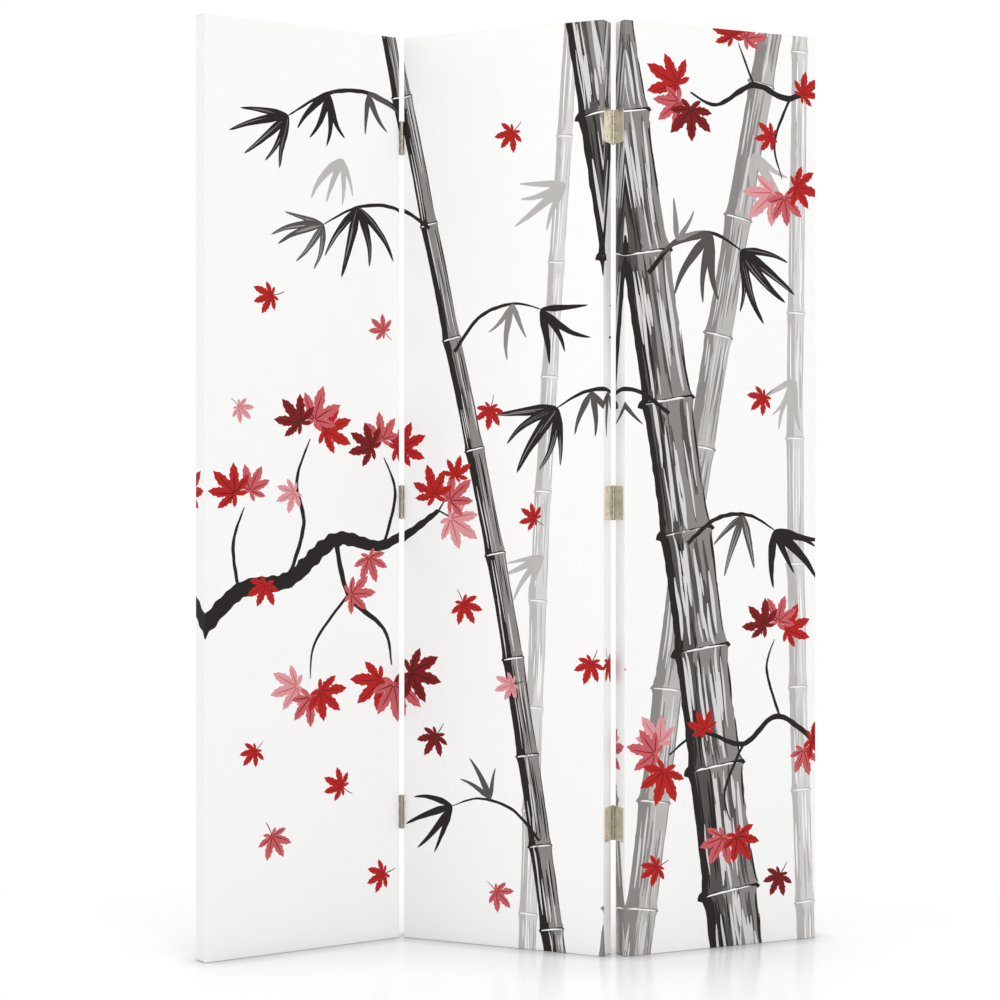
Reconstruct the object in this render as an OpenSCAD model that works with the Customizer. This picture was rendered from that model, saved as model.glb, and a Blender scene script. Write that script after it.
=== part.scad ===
// Three-panel folding screen: canvas stretched on mitred pine frames, joined by two rows of brass butt hinges.
// Sizes are in millimetres. Z is up, X runs along the screen and the printed faces look towards -Y.
// The origin is on the floor, under the middle of the standing screen's outline.

/* [Panels] */
// Width of one panel over its canvas
panel_w = 360; // [260:5:600]
// Height of one panel over its canvas
panel_h = 1500; // [1200:10:2000]
// Depth of one panel over its canvas
panel_t = 32; // [26:1:45]

/* [Canvas] */
// Thickness of the canvas
canvas_t = 0.6; // [0.4:0.1:1.2]
// Width of the canvas that is folded onto the back of the frame
fold_w = 28; // [20:1:38]

/* [Stretcher frame] */
// Width of the stiles and rails
bar_w = 40; // [34:1:60]
// Width of the flat outer lip that carries the canvas
lip_w = 7; // [4:1:12]
// Depth of the bevel that keeps the bars clear of the canvas
bevel_d = 4; // [2:0.5:6]
// Width of the cross rail
cross_w = 44; // [30:1:70]
// Thickness of the cross rail
cross_t = 18; // [14:1:20]
// Length of the cross rail's tenons
tenon_l = 12; // [6:1:14]
// Thickness of the tenons
tenon_t = 8; // [5:0.5:10]
// Shoulder above and below each tenon
tenon_shoulder = 6; // [2:0.5:12]
// Clearance round the tenons in their mortises
tenon_clear = 0.1; // [0.05:0.05:0.3]

/* [Corner wedges] */
// Thickness of a corner wedge
wedge_t = 4; // [3:0.5:6]
// How far a wedge reaches into its slot
wedge_in = 18; // [10:1:20]
// How far a wedge stands out of its slot
wedge_out = 6; // [2:0.5:10]
// How far a wedge runs along its bar, from the inner corner
wedge_run = 22; // [12:1:30]
// Clearance round a wedge in its slot
wedge_clear = 0.1; // [0.05:0.05:0.3]
// Gap between the two wedges of a corner
wedge_gap = 0.6; // [0.2:0.1:2]

/* [Staples] */
// Width of a staple's crown
staple_w = 10; // [6:1:13]
// Thickness of the staple wire, square to the bar
staple_t = 0.6; // [0.4:0.1:1]
// Width of the staple wire
staple_wire = 0.9; // [0.6:0.1:1.4]
// Length of a staple's legs
staple_leg = 8; // [5:1:9]
// Greatest distance from staple to staple
staple_pitch = 90; // [60:5:150]
// Distance from the panel's edge to the line of staples
staple_inset = 15; // [10:1:18]
// Distance from the panel's corner to the first staple
staple_start = 50; // [42:1:80]

/* [Hinges] */
// Height of a hinge
hinge_h = 55; // [40:1:80]
// Number of knuckles in a hinge
knuckles = 5; // [3:2:7]
// Thickness of a hinge leaf
leaf_t = 1.6; // [1.2:0.1:2]
// Bare strip of panel beyond the free edge of a leaf
leaf_margin = 3; // [1:0.5:8]
// Diameter of a hinge barrel
barrel_d = 7; // [6:0.5:7.5]
// Diameter of a hinge pin
pin_d = 4; // [3:0.1:4.4]
// Radial clearance of the pin in the turning knuckles
pin_clear = 0.05; // [0.02:0.01:0.1]
// Gap from knuckle to knuckle
knuckle_gap = 0.2; // [0.1:0.1:0.5]
// Diameter of the pin's heads
pin_head_d = 5.4; // [4.8:0.2:5.8]
// Height of the pin's heads
pin_head_h = 0.8; // [0.4:0.1:2]
// Distance from the panel's face out to the hinge axis
axis_out = 4; // [3.8:0.1:6]
// Distance from the panel's edge sideways to the hinge axis
axis_side = 2.2; // [2.1:0.1:3]
// Gap between a leaf and the other leaf's barrel
leaf_gap = 0.4; // [0.2:0.1:0.8]
// Height of the lower hinges' middle above the floor
hinge_from_floor = 210; // [120:5:300]
// How far the centre hinges' middle lies below the panel's middle
hinge_drop = 24; // [0:1:60]
// Distance of the upper hinges' middle from the panel's top
hinge_from_top = 168; // [120:1:300]

/* [Hinge screws] */
// Length of a screw over its head
screw_l = 16; // [10:1:20]
// Shank diameter of a screw
screw_d = 2.8; // [2:0.1:3.2]
// Head diameter of a screw
screw_head_d = 5.2; // [4:0.1:5.6]
// Length of a screw's point
screw_point = 3; // [2:0.5:5]
// Height from screw to screw in one leaf
screw_pitch = 18; // [10:1:20]
// How far the screws step to each side of the leaf's middle
screw_step = 4; // [0:0.5:6]
// Width of the slots in a screw's cross recess
recess_w = 0.7; // [0.5:0.1:1]
// Depth of the cross recess
recess_d = 0.9; // [0.5:0.1:1.2]
// Span of the cross recess
recess_l = 3; // [2:0.1:3.4]

/* [Pose] */
// Turn of the middle panel from the X axis
middle_turn = 25; // [0:0.5:45]
// Fold of the left panel from flat, as it stands
left_fold = 59.5; // [0:0.5:180]
// Fold of the right panel from flat, as it stands
right_fold = 50.5; // [0:0.5:180]

/* [Hidden] */
$fn = 48;

// Colours
canvas_white = [0.97, 0.97, 0.96];
pine = [0.86, 0.73, 0.53];
beech = [0.80, 0.66, 0.47];
brass = [0.76, 0.68, 0.48];
steel = [0.72, 0.73, 0.75];

// The frame inside the canvas
frame_w = panel_w - 2 * canvas_t;
frame_h = panel_h - 2 * canvas_t;
bar_t = panel_t - 2 * canvas_t;
tenon_h = cross_w - 2 * tenon_shoulder;
past = 1; // how far a cutting shape runs past what it cuts

// The hinges. Their axes stand in front of the left joint and behind the right one
leaf_reach = axis_out + panel_t - leaf_margin;
leaf_face = axis_side - leaf_t;
barrel_r = barrel_d / 2;
knuckle_h = hinge_h / knuckles;
low_z = hinge_from_floor;
centre_z = panel_h / 2 - hinge_drop;
top_z = panel_h - hinge_from_top;
hinge_heights = [low_z, centre_z, top_z];
screw_head_h = (screw_head_d - screw_d) / 2;

// An edge of a panel that has hinges: side -1 is its left edge and 1 its right, face -1 its front and 1 its back
LEFT_FRONT = [-1, -1];
LEFT_BACK = [-1, 1];
RIGHT_FRONT = [1, -1];
RIGHT_BACK = [1, 1];
left_edges = [RIGHT_FRONT];
middle_edges = [LEFT_FRONT, RIGHT_BACK];
right_edges = [LEFT_BACK];

// Where an edge's hinge axis lies, in the plan of its own panel, whose front face is centred on the origin
function axis_at(edge) = [edge[0] * (panel_w / 2 + axis_side), edge[1] < 0 ? -axis_out : panel_t + axis_out];
function turned(p, a) = [p[0] * cos(a) - p[1] * sin(a), p[0] * sin(a) + p[1] * cos(a)];
// Plan of a side panel's point once its panel has swung by a fold about the middle panel's axis
function swung(p, own, theirs, fold) = turned(axis_at(theirs) + turned(p - axis_at(own), fold), -middle_turn);

// The screen's outline in plan, from the corners of its panels, the staples' crowns and the barrels
panel_plan = [
    for (x = [-panel_w / 2, panel_w / 2], y = [0, panel_t]) [x, y],
    for (x = [-1, 1]) [x * (panel_w / 2 - staple_inset), panel_t + staple_t]
];
outline = concat(
    [for (p = panel_plan) turned(p, -middle_turn)],
    [for (p = panel_plan) swung(p, RIGHT_FRONT, LEFT_FRONT, left_fold)],
    [for (p = panel_plan) swung(p, LEFT_BACK, RIGHT_BACK, right_fold)],
    [for (edge = middle_edges, x = [-1, 1], y = [-1, 1])
        turned(axis_at(edge), -middle_turn) + barrel_r * [x, y]]
);
function middle_of(v) = (min(v) + max(v)) / 2;
plan_middle = [middle_of([for (p = outline) p[0]]), middle_of([for (p = outline) p[1]])];

// Each of these puts a panel where it stands, from the panel's own frame
module on_middle() {
    translate([-plan_middle[0], -plan_middle[1], 0])
        rotate(-middle_turn)
            children();
}

module on_side(own, theirs, fold) {
    on_middle()
        translate(axis_at(theirs))
            rotate(fold)
                translate(-axis_at(own))
                    children();
}

module on_left() {
    on_side(RIGHT_FRONT, LEFT_FRONT, left_fold) children();
}

module on_right() {
    on_side(LEFT_BACK, RIGHT_BACK, right_fold) children();
}

// Puts a hinge piece on an edge, from a frame whose Z is the hinge axis, with X towards the panel and Y along its side
module at_hinge(edge, z) {
    translate([axis_at(edge)[0], axis_at(edge)[1], z - hinge_h / 2])
        mirror([edge[0] > 0 ? 1 : 0, 0, 0])
            mirror([0, edge[1] > 0 ? 1 : 0, 0])
                children();
}

// A wood screw along X, without its recess, with its countersunk head flush with the leaf's outer face at x = 0
module screw_body() {
    rotate([0, 90, 0])
        rotate_extrude()
            polygon([
                [0, 0], [screw_head_d / 2, 0], [screw_d / 2, screw_head_h],
                [screw_d / 2, screw_l - screw_point], [0, screw_l]
            ]);
}

module screw() {
    difference() {
        screw_body();
        for (a = [0, 90])
            rotate([a, 0, 0])
                translate([-past, -recess_l / 2, -recess_w / 2])
                    cube([recess_d + past, recess_l, recess_w]);
    }
}

module at_leaf_screws() {
    for (i = [-1, 0, 1])
        translate([
            leaf_face,
            axis_out + (panel_t - leaf_margin) / 2 + (i == 0 ? -screw_step : screw_step),
            hinge_h / 2 + i * screw_pitch
        ])
            children();
}

module screw_holes(edges) {
    for (edge = edges, z = hinge_heights)
        at_hinge(edge, z)
            at_leaf_screws()
                screw_body();
}

// Canvas over the front and all four edges of a frame, folded onto the back
module canvas(edges) {
    color(canvas_white)
        difference() {
            translate([-panel_w / 2, 0, 0])
                cube([panel_w, panel_t, panel_h]);
            translate([-frame_w / 2, canvas_t, canvas_t])
                cube([frame_w, bar_t, frame_h]);
            translate([fold_w - panel_w / 2, panel_t - canvas_t - past, fold_w])
                cube([panel_w - 2 * fold_w, canvas_t + 2 * past, panel_h - 2 * fold_w]);
            screw_holes(edges);
        }
}

// Section of a stile or rail, with its outer edge at x = 0 and its front at y = 0
module bar_section() {
    polygon([[0, 0], [lip_w, 0], [bar_w, bevel_d], [bar_w, bar_t], [0, bar_t]]);
}

// Extrudes a shape drawn in X and Z through the whole depth of a bar
module through_bar(y0, depth) {
    translate([0, y0 + depth, 0])
        rotate([90, 0, 0])
            linear_extrude(depth)
                children();
}

// Mitred bar of a given length, along Z, with its outer edge at x = 0
module mitred_bar(length) {
    difference() {
        intersection() {
            linear_extrude(length)
                bar_section();
            through_bar(-past, bar_t + 2 * past)
                polygon([
                    [-past, -past], [bar_w + past, bar_w + past],
                    [bar_w + past, length - bar_w - past], [-past, length + past]
                ]);
        }
        wedge_slot();
        translate([0, 0, length])
            mirror([0, 0, 1])
                wedge_slot();
    }
}

// Slot for the wedge at the lower end of a bar
module wedge_slot() {
    edge = -wedge_in - wedge_clear;
    translate([bar_w, 0, bar_w])
        through_bar((bar_t - wedge_t) / 2 - wedge_clear, wedge_t + 2 * wedge_clear)
            polygon([
                [edge, edge - past], [past, -past + wedge_gap / 2],
                [past, wedge_run + wedge_clear], [edge, wedge_run + wedge_clear]
            ]);
}

// The wedge in the slot at the lower end of a bar that stands along Z
module corner_wedge() {
    translate([bar_w, 0, bar_w])
        through_bar((bar_t - wedge_t) / 2, wedge_t)
            polygon([
                [-wedge_in, -wedge_in + wedge_gap], [wedge_out, wedge_out + wedge_gap],
                [wedge_out * 0.4, wedge_run], [-wedge_in, wedge_run]
            ]);
}

// Puts a bar on one side of the frame, from a frame with the bar along Z and its outer edge at x = 0
module in_frame() {
    translate([-frame_w / 2, canvas_t, canvas_t])
        children();
}

module to_side(side) {
    in_frame()
        translate([side > 0 ? frame_w : 0, 0, 0])
            mirror([side > 0 ? 1 : 0, 0, 0])
                children();
}

// Turns a bar from along Z to along X, at the foot or the head of the frame
module to_end(end) {
    in_frame()
        translate([frame_w, 0, end > 0 ? frame_h : 0])
            mirror([0, 0, end > 0 ? 1 : 0])
                rotate([0, -90, 0])
                    children();
}

module stile(side, edges) {
    color(pine)
        difference() {
            to_side(side)
                difference() {
                    mitred_bar(frame_h);
                    translate([
                        bar_w - tenon_l - tenon_clear,
                        bar_t - (cross_t + tenon_t) / 2 - tenon_clear,
                        (frame_h - tenon_h) / 2 - tenon_clear
                    ])
                        cube([tenon_l + tenon_clear + past, tenon_t + 2 * tenon_clear, tenon_h + 2 * tenon_clear]);
                }
            screw_holes([for (edge = edges) if (edge[0] == side) edge]);
        }
}

module rail(end) {
    color(pine)
        to_end(end)
            mitred_bar(frame_w);
}

module cross_rail() {
    inner_w = frame_w - 2 * bar_w;
    color(pine)
        in_frame()
            translate([bar_w, bar_t - cross_t, (frame_h - cross_w) / 2])
                union() {
                    cube([inner_w, cross_t, cross_w]);
                    translate([-tenon_l, (cross_t - tenon_t) / 2, tenon_shoulder])
                        cube([inner_w + 2 * tenon_l, tenon_t, tenon_h]);
                }
}

module corner_wedges() {
    color(beech) {
        for (side = [-1, 1])
            to_side(side) {
                corner_wedge();
                translate([0, 0, frame_h])
                    mirror([0, 0, 1])
                        corner_wedge();
            }
        for (end = [-1, 1])
            to_end(end) {
                corner_wedge();
                translate([0, 0, frame_w])
                    mirror([0, 0, 1])
                        corner_wedge();
            }
    }
}

// A staple on the back of the panel, with its crown along Z
module staple() {
    translate([-staple_wire / 2, 0, -staple_w / 2])
        cube([staple_wire, staple_t, staple_w]);
    for (z = [-staple_w / 2, staple_w / 2 - staple_t])
        translate([-staple_wire / 2, -staple_leg, z])
            cube([staple_wire, staple_leg + staple_t, staple_t]);
}

// Places along an edge of a given length, from its middle, no further apart than the pitch
function staple_places(length) =
    let (run = length - 2 * staple_start, n = ceil(run / staple_pitch))
    [for (i = [0 : n]) run * (i / n - 0.5)];

module staples() {
    color(steel)
        translate([0, panel_t, panel_h / 2]) {
            for (side = [-1, 1], z = staple_places(panel_h))
                translate([side * (panel_w / 2 - staple_inset), 0, z])
                    staple();
            for (end = [-1, 1], x = staple_places(panel_w))
                translate([x, 0, end * (panel_h / 2 - staple_inset)])
                    rotate([0, 90, 0])
                        staple();
        }
}

// A leaf of a hinge. The fixed one has the outer knuckles and grips the pin, the other turns on it
module leaf(fixed) {
    bore_r = pin_d / 2 + (fixed ? 0 : pin_clear);
    color(brass)
        difference() {
            union() {
                translate([leaf_face, barrel_r + leaf_gap, 0])
                    cube([leaf_t, leaf_reach - barrel_r - leaf_gap, hinge_h]);
                for (i = [(fixed ? 0 : 1) : 2 : knuckles - 1]) {
                    low = i * knuckle_h + (i > 0 ? knuckle_gap / 2 : 0);
                    high = (i + 1) * knuckle_h - (i < knuckles - 1 ? knuckle_gap / 2 : 0);
                    translate([0, 0, low])
                        cylinder(h = high - low, r = barrel_r);
                    translate([leaf_face, 0, low])
                        cube([leaf_t, barrel_r + leaf_gap + past, high - low]);
                }
            }
            translate([0, 0, -past])
                cylinder(h = hinge_h + 2 * past, r = bore_r);
            at_leaf_screws()
                screw_body();
        }
}

module side_leaf(edge, z) {
    at_hinge(edge, z) leaf(false);
}

module middle_leaf(edge, z) {
    at_hinge(edge, z) leaf(true);
}

module hinge_pin(edge, z) {
    color(brass)
        at_hinge(edge, z) {
            cylinder(h = hinge_h, r = pin_d / 2);
            for (low = [-pin_head_h, hinge_h])
                translate([0, 0, low])
                    cylinder(h = pin_head_h, r = pin_head_d / 2);
        }
}

module leaf_screws(edge, z) {
    color(brass)
        at_hinge(edge, z)
            at_leaf_screws()
                screw();
}

on_left() canvas(left_edges);  // left_panel_canvas
on_left() stile(-1, left_edges);  // left_panel_left_stile
on_left() stile(1, left_edges);  // left_panel_right_stile
on_left() rail(1);  // left_panel_top_rail
on_left() rail(-1);  // left_panel_bottom_rail
on_left() cross_rail();  // left_panel_cross_rail
on_left() corner_wedges();  // left_panel_corner_wedges
on_left() staples();  // left_panel_staples
on_middle() canvas(middle_edges);  // middle_panel_canvas
on_middle() stile(-1, middle_edges);  // middle_panel_left_stile
on_middle() stile(1, middle_edges);  // middle_panel_right_stile
on_middle() rail(1);  // middle_panel_top_rail
on_middle() rail(-1);  // middle_panel_bottom_rail
on_middle() cross_rail();  // middle_panel_cross_rail
on_middle() corner_wedges();  // middle_panel_corner_wedges
on_middle() staples();  // middle_panel_staples
on_right() canvas(right_edges);  // right_panel_canvas
on_right() stile(-1, right_edges);  // right_panel_left_stile
on_right() stile(1, right_edges);  // right_panel_right_stile
on_right() rail(1);  // right_panel_top_rail
on_right() rail(-1);  // right_panel_bottom_rail
on_right() cross_rail();  // right_panel_cross_rail
on_right() corner_wedges();  // right_panel_corner_wedges
on_right() staples();  // right_panel_staples
on_left() side_leaf(RIGHT_FRONT, top_z);  // upper_left_hinge_side_leaf
on_middle() middle_leaf(LEFT_FRONT, top_z);  // upper_left_hinge_middle_leaf
on_middle() hinge_pin(LEFT_FRONT, top_z);  // upper_left_hinge_pin
on_left() leaf_screws(RIGHT_FRONT, top_z);  // upper_left_hinge_side_screws
on_middle() leaf_screws(LEFT_FRONT, top_z);  // upper_left_hinge_middle_screws
on_left() side_leaf(RIGHT_FRONT, centre_z);  // centre_left_hinge_side_leaf
on_middle() middle_leaf(LEFT_FRONT, centre_z);  // centre_left_hinge_middle_leaf
on_middle() hinge_pin(LEFT_FRONT, centre_z);  // centre_left_hinge_pin
on_left() leaf_screws(RIGHT_FRONT, centre_z);  // centre_left_hinge_side_screws
on_middle() leaf_screws(LEFT_FRONT, centre_z);  // centre_left_hinge_middle_screws
on_left() side_leaf(RIGHT_FRONT, low_z);  // lower_left_hinge_side_leaf
on_middle() middle_leaf(LEFT_FRONT, low_z);  // lower_left_hinge_middle_leaf
on_middle() hinge_pin(LEFT_FRONT, low_z);  // lower_left_hinge_pin
on_left() leaf_screws(RIGHT_FRONT, low_z);  // lower_left_hinge_side_screws
on_middle() leaf_screws(LEFT_FRONT, low_z);  // lower_left_hinge_middle_screws
on_right() side_leaf(LEFT_BACK, top_z);  // upper_right_hinge_side_leaf
on_middle() middle_leaf(RIGHT_BACK, top_z);  // upper_right_hinge_middle_leaf
on_middle() hinge_pin(RIGHT_BACK, top_z);  // upper_right_hinge_pin
on_right() leaf_screws(LEFT_BACK, top_z);  // upper_right_hinge_side_screws
on_middle() leaf_screws(RIGHT_BACK, top_z);  // upper_right_hinge_middle_screws
on_right() side_leaf(LEFT_BACK, centre_z);  // centre_right_hinge_side_leaf
on_middle() middle_leaf(RIGHT_BACK, centre_z);  // centre_right_hinge_middle_leaf
on_middle() hinge_pin(RIGHT_BACK, centre_z);  // centre_right_hinge_pin
on_right() leaf_screws(LEFT_BACK, centre_z);  // centre_right_hinge_side_screws
on_middle() leaf_screws(RIGHT_BACK, centre_z);  // centre_right_hinge_middle_screws
on_right() side_leaf(LEFT_BACK, low_z);  // lower_right_hinge_side_leaf
on_middle() middle_leaf(RIGHT_BACK, low_z);  // lower_right_hinge_middle_leaf
on_middle() hinge_pin(RIGHT_BACK, low_z);  // lower_right_hinge_pin
on_right() leaf_screws(LEFT_BACK, low_z);  // lower_right_hinge_side_screws
on_middle() leaf_screws(RIGHT_BACK, low_z);  // lower_right_hinge_middle_screws
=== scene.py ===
"""Dresses a three-panel folding screen: printed canvas on pine frames, with brass butt hinges."""

import math
import random

import bmesh
import bpy
import numpy as np
from bpy.props import FloatProperty, FloatVectorProperty, IntProperty, PointerProperty
from mathutils import Matrix, Vector
from mathutils.geometry import delaunay_2d_cdt


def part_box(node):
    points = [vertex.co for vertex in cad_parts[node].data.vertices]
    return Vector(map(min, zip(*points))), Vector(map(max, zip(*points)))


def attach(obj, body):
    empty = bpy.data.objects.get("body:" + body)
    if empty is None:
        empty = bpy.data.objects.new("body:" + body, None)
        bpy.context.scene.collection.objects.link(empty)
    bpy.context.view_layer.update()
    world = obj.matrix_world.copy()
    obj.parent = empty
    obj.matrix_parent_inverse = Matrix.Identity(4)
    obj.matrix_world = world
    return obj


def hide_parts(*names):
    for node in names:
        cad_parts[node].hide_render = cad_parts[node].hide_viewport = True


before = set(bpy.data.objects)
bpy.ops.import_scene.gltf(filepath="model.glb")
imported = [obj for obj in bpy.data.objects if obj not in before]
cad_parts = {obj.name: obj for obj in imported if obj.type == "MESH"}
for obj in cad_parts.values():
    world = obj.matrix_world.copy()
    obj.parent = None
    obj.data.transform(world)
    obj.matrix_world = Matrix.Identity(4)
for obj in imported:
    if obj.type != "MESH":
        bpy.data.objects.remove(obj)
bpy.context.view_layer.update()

bl_info = {
    "name": "Folding Screen",
    "version": (1, 0, 0),
    "blender": (4, 5, 0),
    "location": "3D View > Sidebar > Screen",
    "description": "Dresses a three-panel folding screen with printed canvas, pine frames and brass hinges",
    "category": "Object",
}

MM = 0.001
MERGE = 1e-7  # how near two points of a mesh are made one, in metres
TOLERANCE = 1e-6  # in millimetres, as are the sizes below

# The panels, in millimetres, and how they stand round Z, in degrees
PANELS = ("left", "middle", "right")
TURNS = {"left": 34.5, "middle": -25.0, "right": 25.5}
PANEL_W = 360.0
PANEL_T = 32.0
PANEL_H = (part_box("middle_panel_canvas")[1].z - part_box("middle_panel_canvas")[0].z) / MM
BARS = {"left_stile": "Z", "right_stile": "Z", "top_rail": "X", "bottom_rail": "X", "cross_rail": "X"}

# The hinges, in millimetres
HINGE_ROWS = ("upper", "centre", "lower")
KNUCKLES = 5
KNUCKLE_GAP = 0.2
BARREL_R = 3.5
AXIS_OUT = 4.0  # from a panel's face to the pin's middle
AXIS_SIDE = 2.2  # from a panel's side to the pin's middle
LEAF_T = 1.6
LEAF_MARGIN = 3.0
LEAF_GAP = 0.4  # from the barrel to the leaf between a leaf's own knuckles
LEAF_TIP = 1.0  # from the pin's middle to the leaf at its own knuckles
LEAF_CORNER_STEPS = 6
LEAST_CORNER = 0.05  # a leaf corner's least radius
BARREL_DULL = 0.7  # how bright a dull barrel is, as a share
PIN_R = 2.0
PIN_EASE = 0.03  # between the pin and its bores
PIN_HEAD_R = 2.7
PIN_DOME = 0.8
PIN_DOME_STEPS = 5
SCREW_L = 16.0
SCREW_R = 1.4
SCREW_EASE = 0.06  # between a screw and its hole
SCREW_HEAD_R = 2.6
SCREW_POINT = 3.0  # how long the point is
SCREW_TIP = 0.2  # radius of the blunt tip
SCREW_PITCH = 18.0
SCREW_STEP = 4.0
RECESS = (3.0, 0.7, 0.9)  # span, width and depth of a screw's cross recess
RECESS_FOOT = (0.82, 0.9)  # span and width at its foot, as shares
ROUND_STEPS = 32
HOLE_STEPS = 24
HARDWARE_SHARP = 32.0  # the angle, in degrees, past which an edge of a hinge shows as an edge
FASTENER_SHARP = 35.0  # and the same for screws and staples

# The leaves at each joint: leaf, panel, side of the panel, and 1 where the pin is behind the panel
LEAVES = {
    "left": (("side", "left", 1, 0), ("middle", "middle", -1, 0)),
    "right": (("side", "right", -1, 1), ("middle", "middle", 1, 1)),
}

# The staples, in millimetres
STAPLE_CROWN = 10.0
STAPLE_LEG = 8.0
STAPLE_WIDE = 0.9
STAPLE_THICK = 0.6
STAPLE_BEND = 0.7
STAPLE_BEND_STEPS = 4
STAPLE_POINT = 0.25  # how thick the wire is at its ends, as a share
STAPLE_SECTION = ((0.5, 0.28), (0.28, 0.5), (-0.28, 0.5), (-0.5, 0.28),
                  (-0.5, -0.28), (-0.28, -0.5), (0.28, -0.5), (0.5, -0.28))  # in shares of its size

# The stage, in metres
KEY_PLACE = (2.17, -5.96, 1.9)
SIDE_PLACE = (-6.45, -2.1, 1.97)
LAMP_SIZE = 3.0
FLOOR_HALF = 30.0
FADE_START = 0.16
FADE_END = 0.62
FADE_ACROSS = 0.35  # how far a metre across counts in the floor's fade
CONTACT_DARK = 0.66  # how bright the floor stays in the strong and in the faint contact shadow
SOFT_CONTACT_DARK = 0.84
SENSOR_W = 36.0  # in millimetres
FAR_CLIP = 100.0

# Tones of the print, in the order of the colours in InkSettings
BLACK, CHARCOAL, GREY, PALE, MIST, PAPER, DEEP, RED, ROSE, BLUSH = range(10)
TONE_NAMES = ("black", "charcoal", "grey", "pale", "mist", "paper", "deep_red", "red", "rose", "blush")
INK_SHOWS = 0.12  # how far the cloth shows through the ink

# How deep the weave looks on each face of the canvas, in metres
WEAVE_DEPTH = 0.0002
RAW_WEAVE_DEPTH = 0.0003


def srgb(red, green, blue):
    """A colour given as 0 to 255 on a screen, as the linear colour that sockets take."""
    shares = (red / 255, green / 255, blue / 255)
    linear = [c / 12.92 if c <= 0.04045 else ((c + 0.055) / 1.055) ** 2.4 for c in shares]
    return (*linear, 1.0)


def colour(name, default, description):
    return FloatVectorProperty(name=name, description=description, default=default,
                               subtype="COLOR", size=4, min=0, max=1)


def number(name, default, description, **more):
    return FloatProperty(name=name, description=description, default=default, **more)


def length(name, default, description):
    return number(name, default, description, min=0, unit="LENGTH")


class StageSettings(bpy.types.PropertyGroup):
    """Camera, lights and floor"""

    distance: length("Camera distance", 3.7178, "From the middle of the screen to the camera")
    height: length("Camera height", 0.7683, "Height of the camera over the floor")
    side: number("Camera offset", 0.0039, "How far right of the middle the camera stands", unit="LENGTH")
    heading: number("Camera heading", 0.0067, "How far the camera turns to its left", subtype="ANGLE")
    lens: number("Lens", 82.16, "Focal length in millimetres", unit="CAMERA")
    rise: number("Vertical shift", -0.0234, "Camera shift that sets the horizon")
    sky: number("Sky", 0.82, "Strength of the light from all round", min=0)
    key: number("Key light", 100.0, "Power of the front light", min=0, unit="POWER")
    side_light: number("Side light", 62.0, "Power of the left light", min=0, unit="POWER")
    floor: colour("Floor", (0.93, 0.93, 0.93, 1.0), "Colour of the floor")
    lift: number("Floor lift", 0.14, "How much whiter the camera sees the floor than it is lit", min=0)
    contact: length("Contact shadow", 0.05, "How far the floor darkens strongly round what stands on it")
    soft_contact: length("Soft contact shadow", 0.25,
                         "How far the floor darkens faintly round what stands on it")


class CanvasSettings(bpy.types.PropertyGroup):
    """The stretched cloth"""

    thickness: length("Cloth thickness", 0.0003, "Thickness of the canvas")
    radius: length("Edge radius", 0.001, "How tightly the canvas bends round the frame's edges")
    fold: length("Fold width", 0.028, "Width of the canvas folded onto the back")
    bleed: length("Print bleed", 0.008, "How far the print runs onto the back")
    pitch: length("Thread pitch", 0.0008, "Distance from thread to thread")
    white: colour("Primed white", srgb(249, 249, 248), "Colour of the primed face")
    raw: colour("Raw cloth", srgb(226, 219, 203), "Colour of the unprimed back")


class InkSettings(bpy.types.PropertyGroup):
    """The printed design"""

    seed: IntProperty(name="Seed", description="Another seed gives other brush marks", default=11)
    black: colour("Black", srgb(35, 30, 28), "Black of the stems and leaves")
    charcoal: colour("Charcoal", srgb(84, 80, 78), "Darkest grey wash")
    grey: colour("Grey", srgb(140, 136, 134), "Middle grey wash")
    pale: colour("Pale grey", srgb(188, 185, 183), "Pale grey wash")
    mist: colour("Mist", srgb(218, 216, 215), "Palest grey wash")
    paper: colour("Paper", srgb(249, 249, 248), "Bare cloth that shows through a dry brush")
    deep_red: colour("Deep red", srgb(128, 20, 22), "Darkest red")
    red: colour("Red", srgb(184, 30, 28), "Red of the maple leaves")
    rose: colour("Rose", srgb(200, 92, 98), "Thinned red")
    blush: colour("Blush", srgb(222, 152, 156), "Palest red")


class FrameSettings(bpy.types.PropertyGroup):
    """The wooden stretcher frames"""

    pine: colour("Pine", srgb(232, 205, 160), "Pale wood between the rings")
    pine_ring: colour("Pine rings", srgb(201, 152, 96), "Dark lines of the grain")
    knot: colour("Knots", srgb(128, 78, 42), "Heart of a knot")
    beech: colour("Beech", srgb(214, 181, 143), "Corner wedges")
    beech_ring: colour("Beech flecks", srgb(178, 138, 98), "Flecks of the corner wedges")
    ring: length("Ring spacing", 0.0042, "Distance from ring to ring of the pine")


class HingeSettings(bpy.types.PropertyGroup):
    """Hinges, screws and staples"""

    brass: colour("Brass", srgb(230, 226, 215), "Satin brass of the leaves")
    brass_dark: colour("Tarnish", srgb(214, 208, 194), "Brass where it has dulled")
    # Darker than the leaves' brass: painted shade on the barrels and pins
    barrel: colour("Barrels", srgb(156, 150, 137), "Duller brass of the barrels and pins")
    screw: colour("Screws", srgb(214, 205, 180), "Brass of the screws")
    steel: colour("Staples", srgb(196, 198, 202), "Steel of the staples")
    steel_dark: colour("Dull steel", (0.32, 0.31, 0.30, 1.0), "Steel where it has dulled")
    chamfer: length("Chamfer", 0.00025, "Width of the eased edges of leaves and barrels")
    corner: length("Leaf corner", 0.002, "Radius of the leaves' outer corners")
    head_turn: number("Screw turn", math.pi, "How far the screws' crosses turn at random", subtype="ANGLE")
    staple_tilt: number("Staple tilt", math.radians(2.5), "How far the staples lean at random",
                        subtype="ANGLE")
    seed: IntProperty(name="Seed", description="Another seed turns screws and staples otherwise", default=5)


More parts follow.
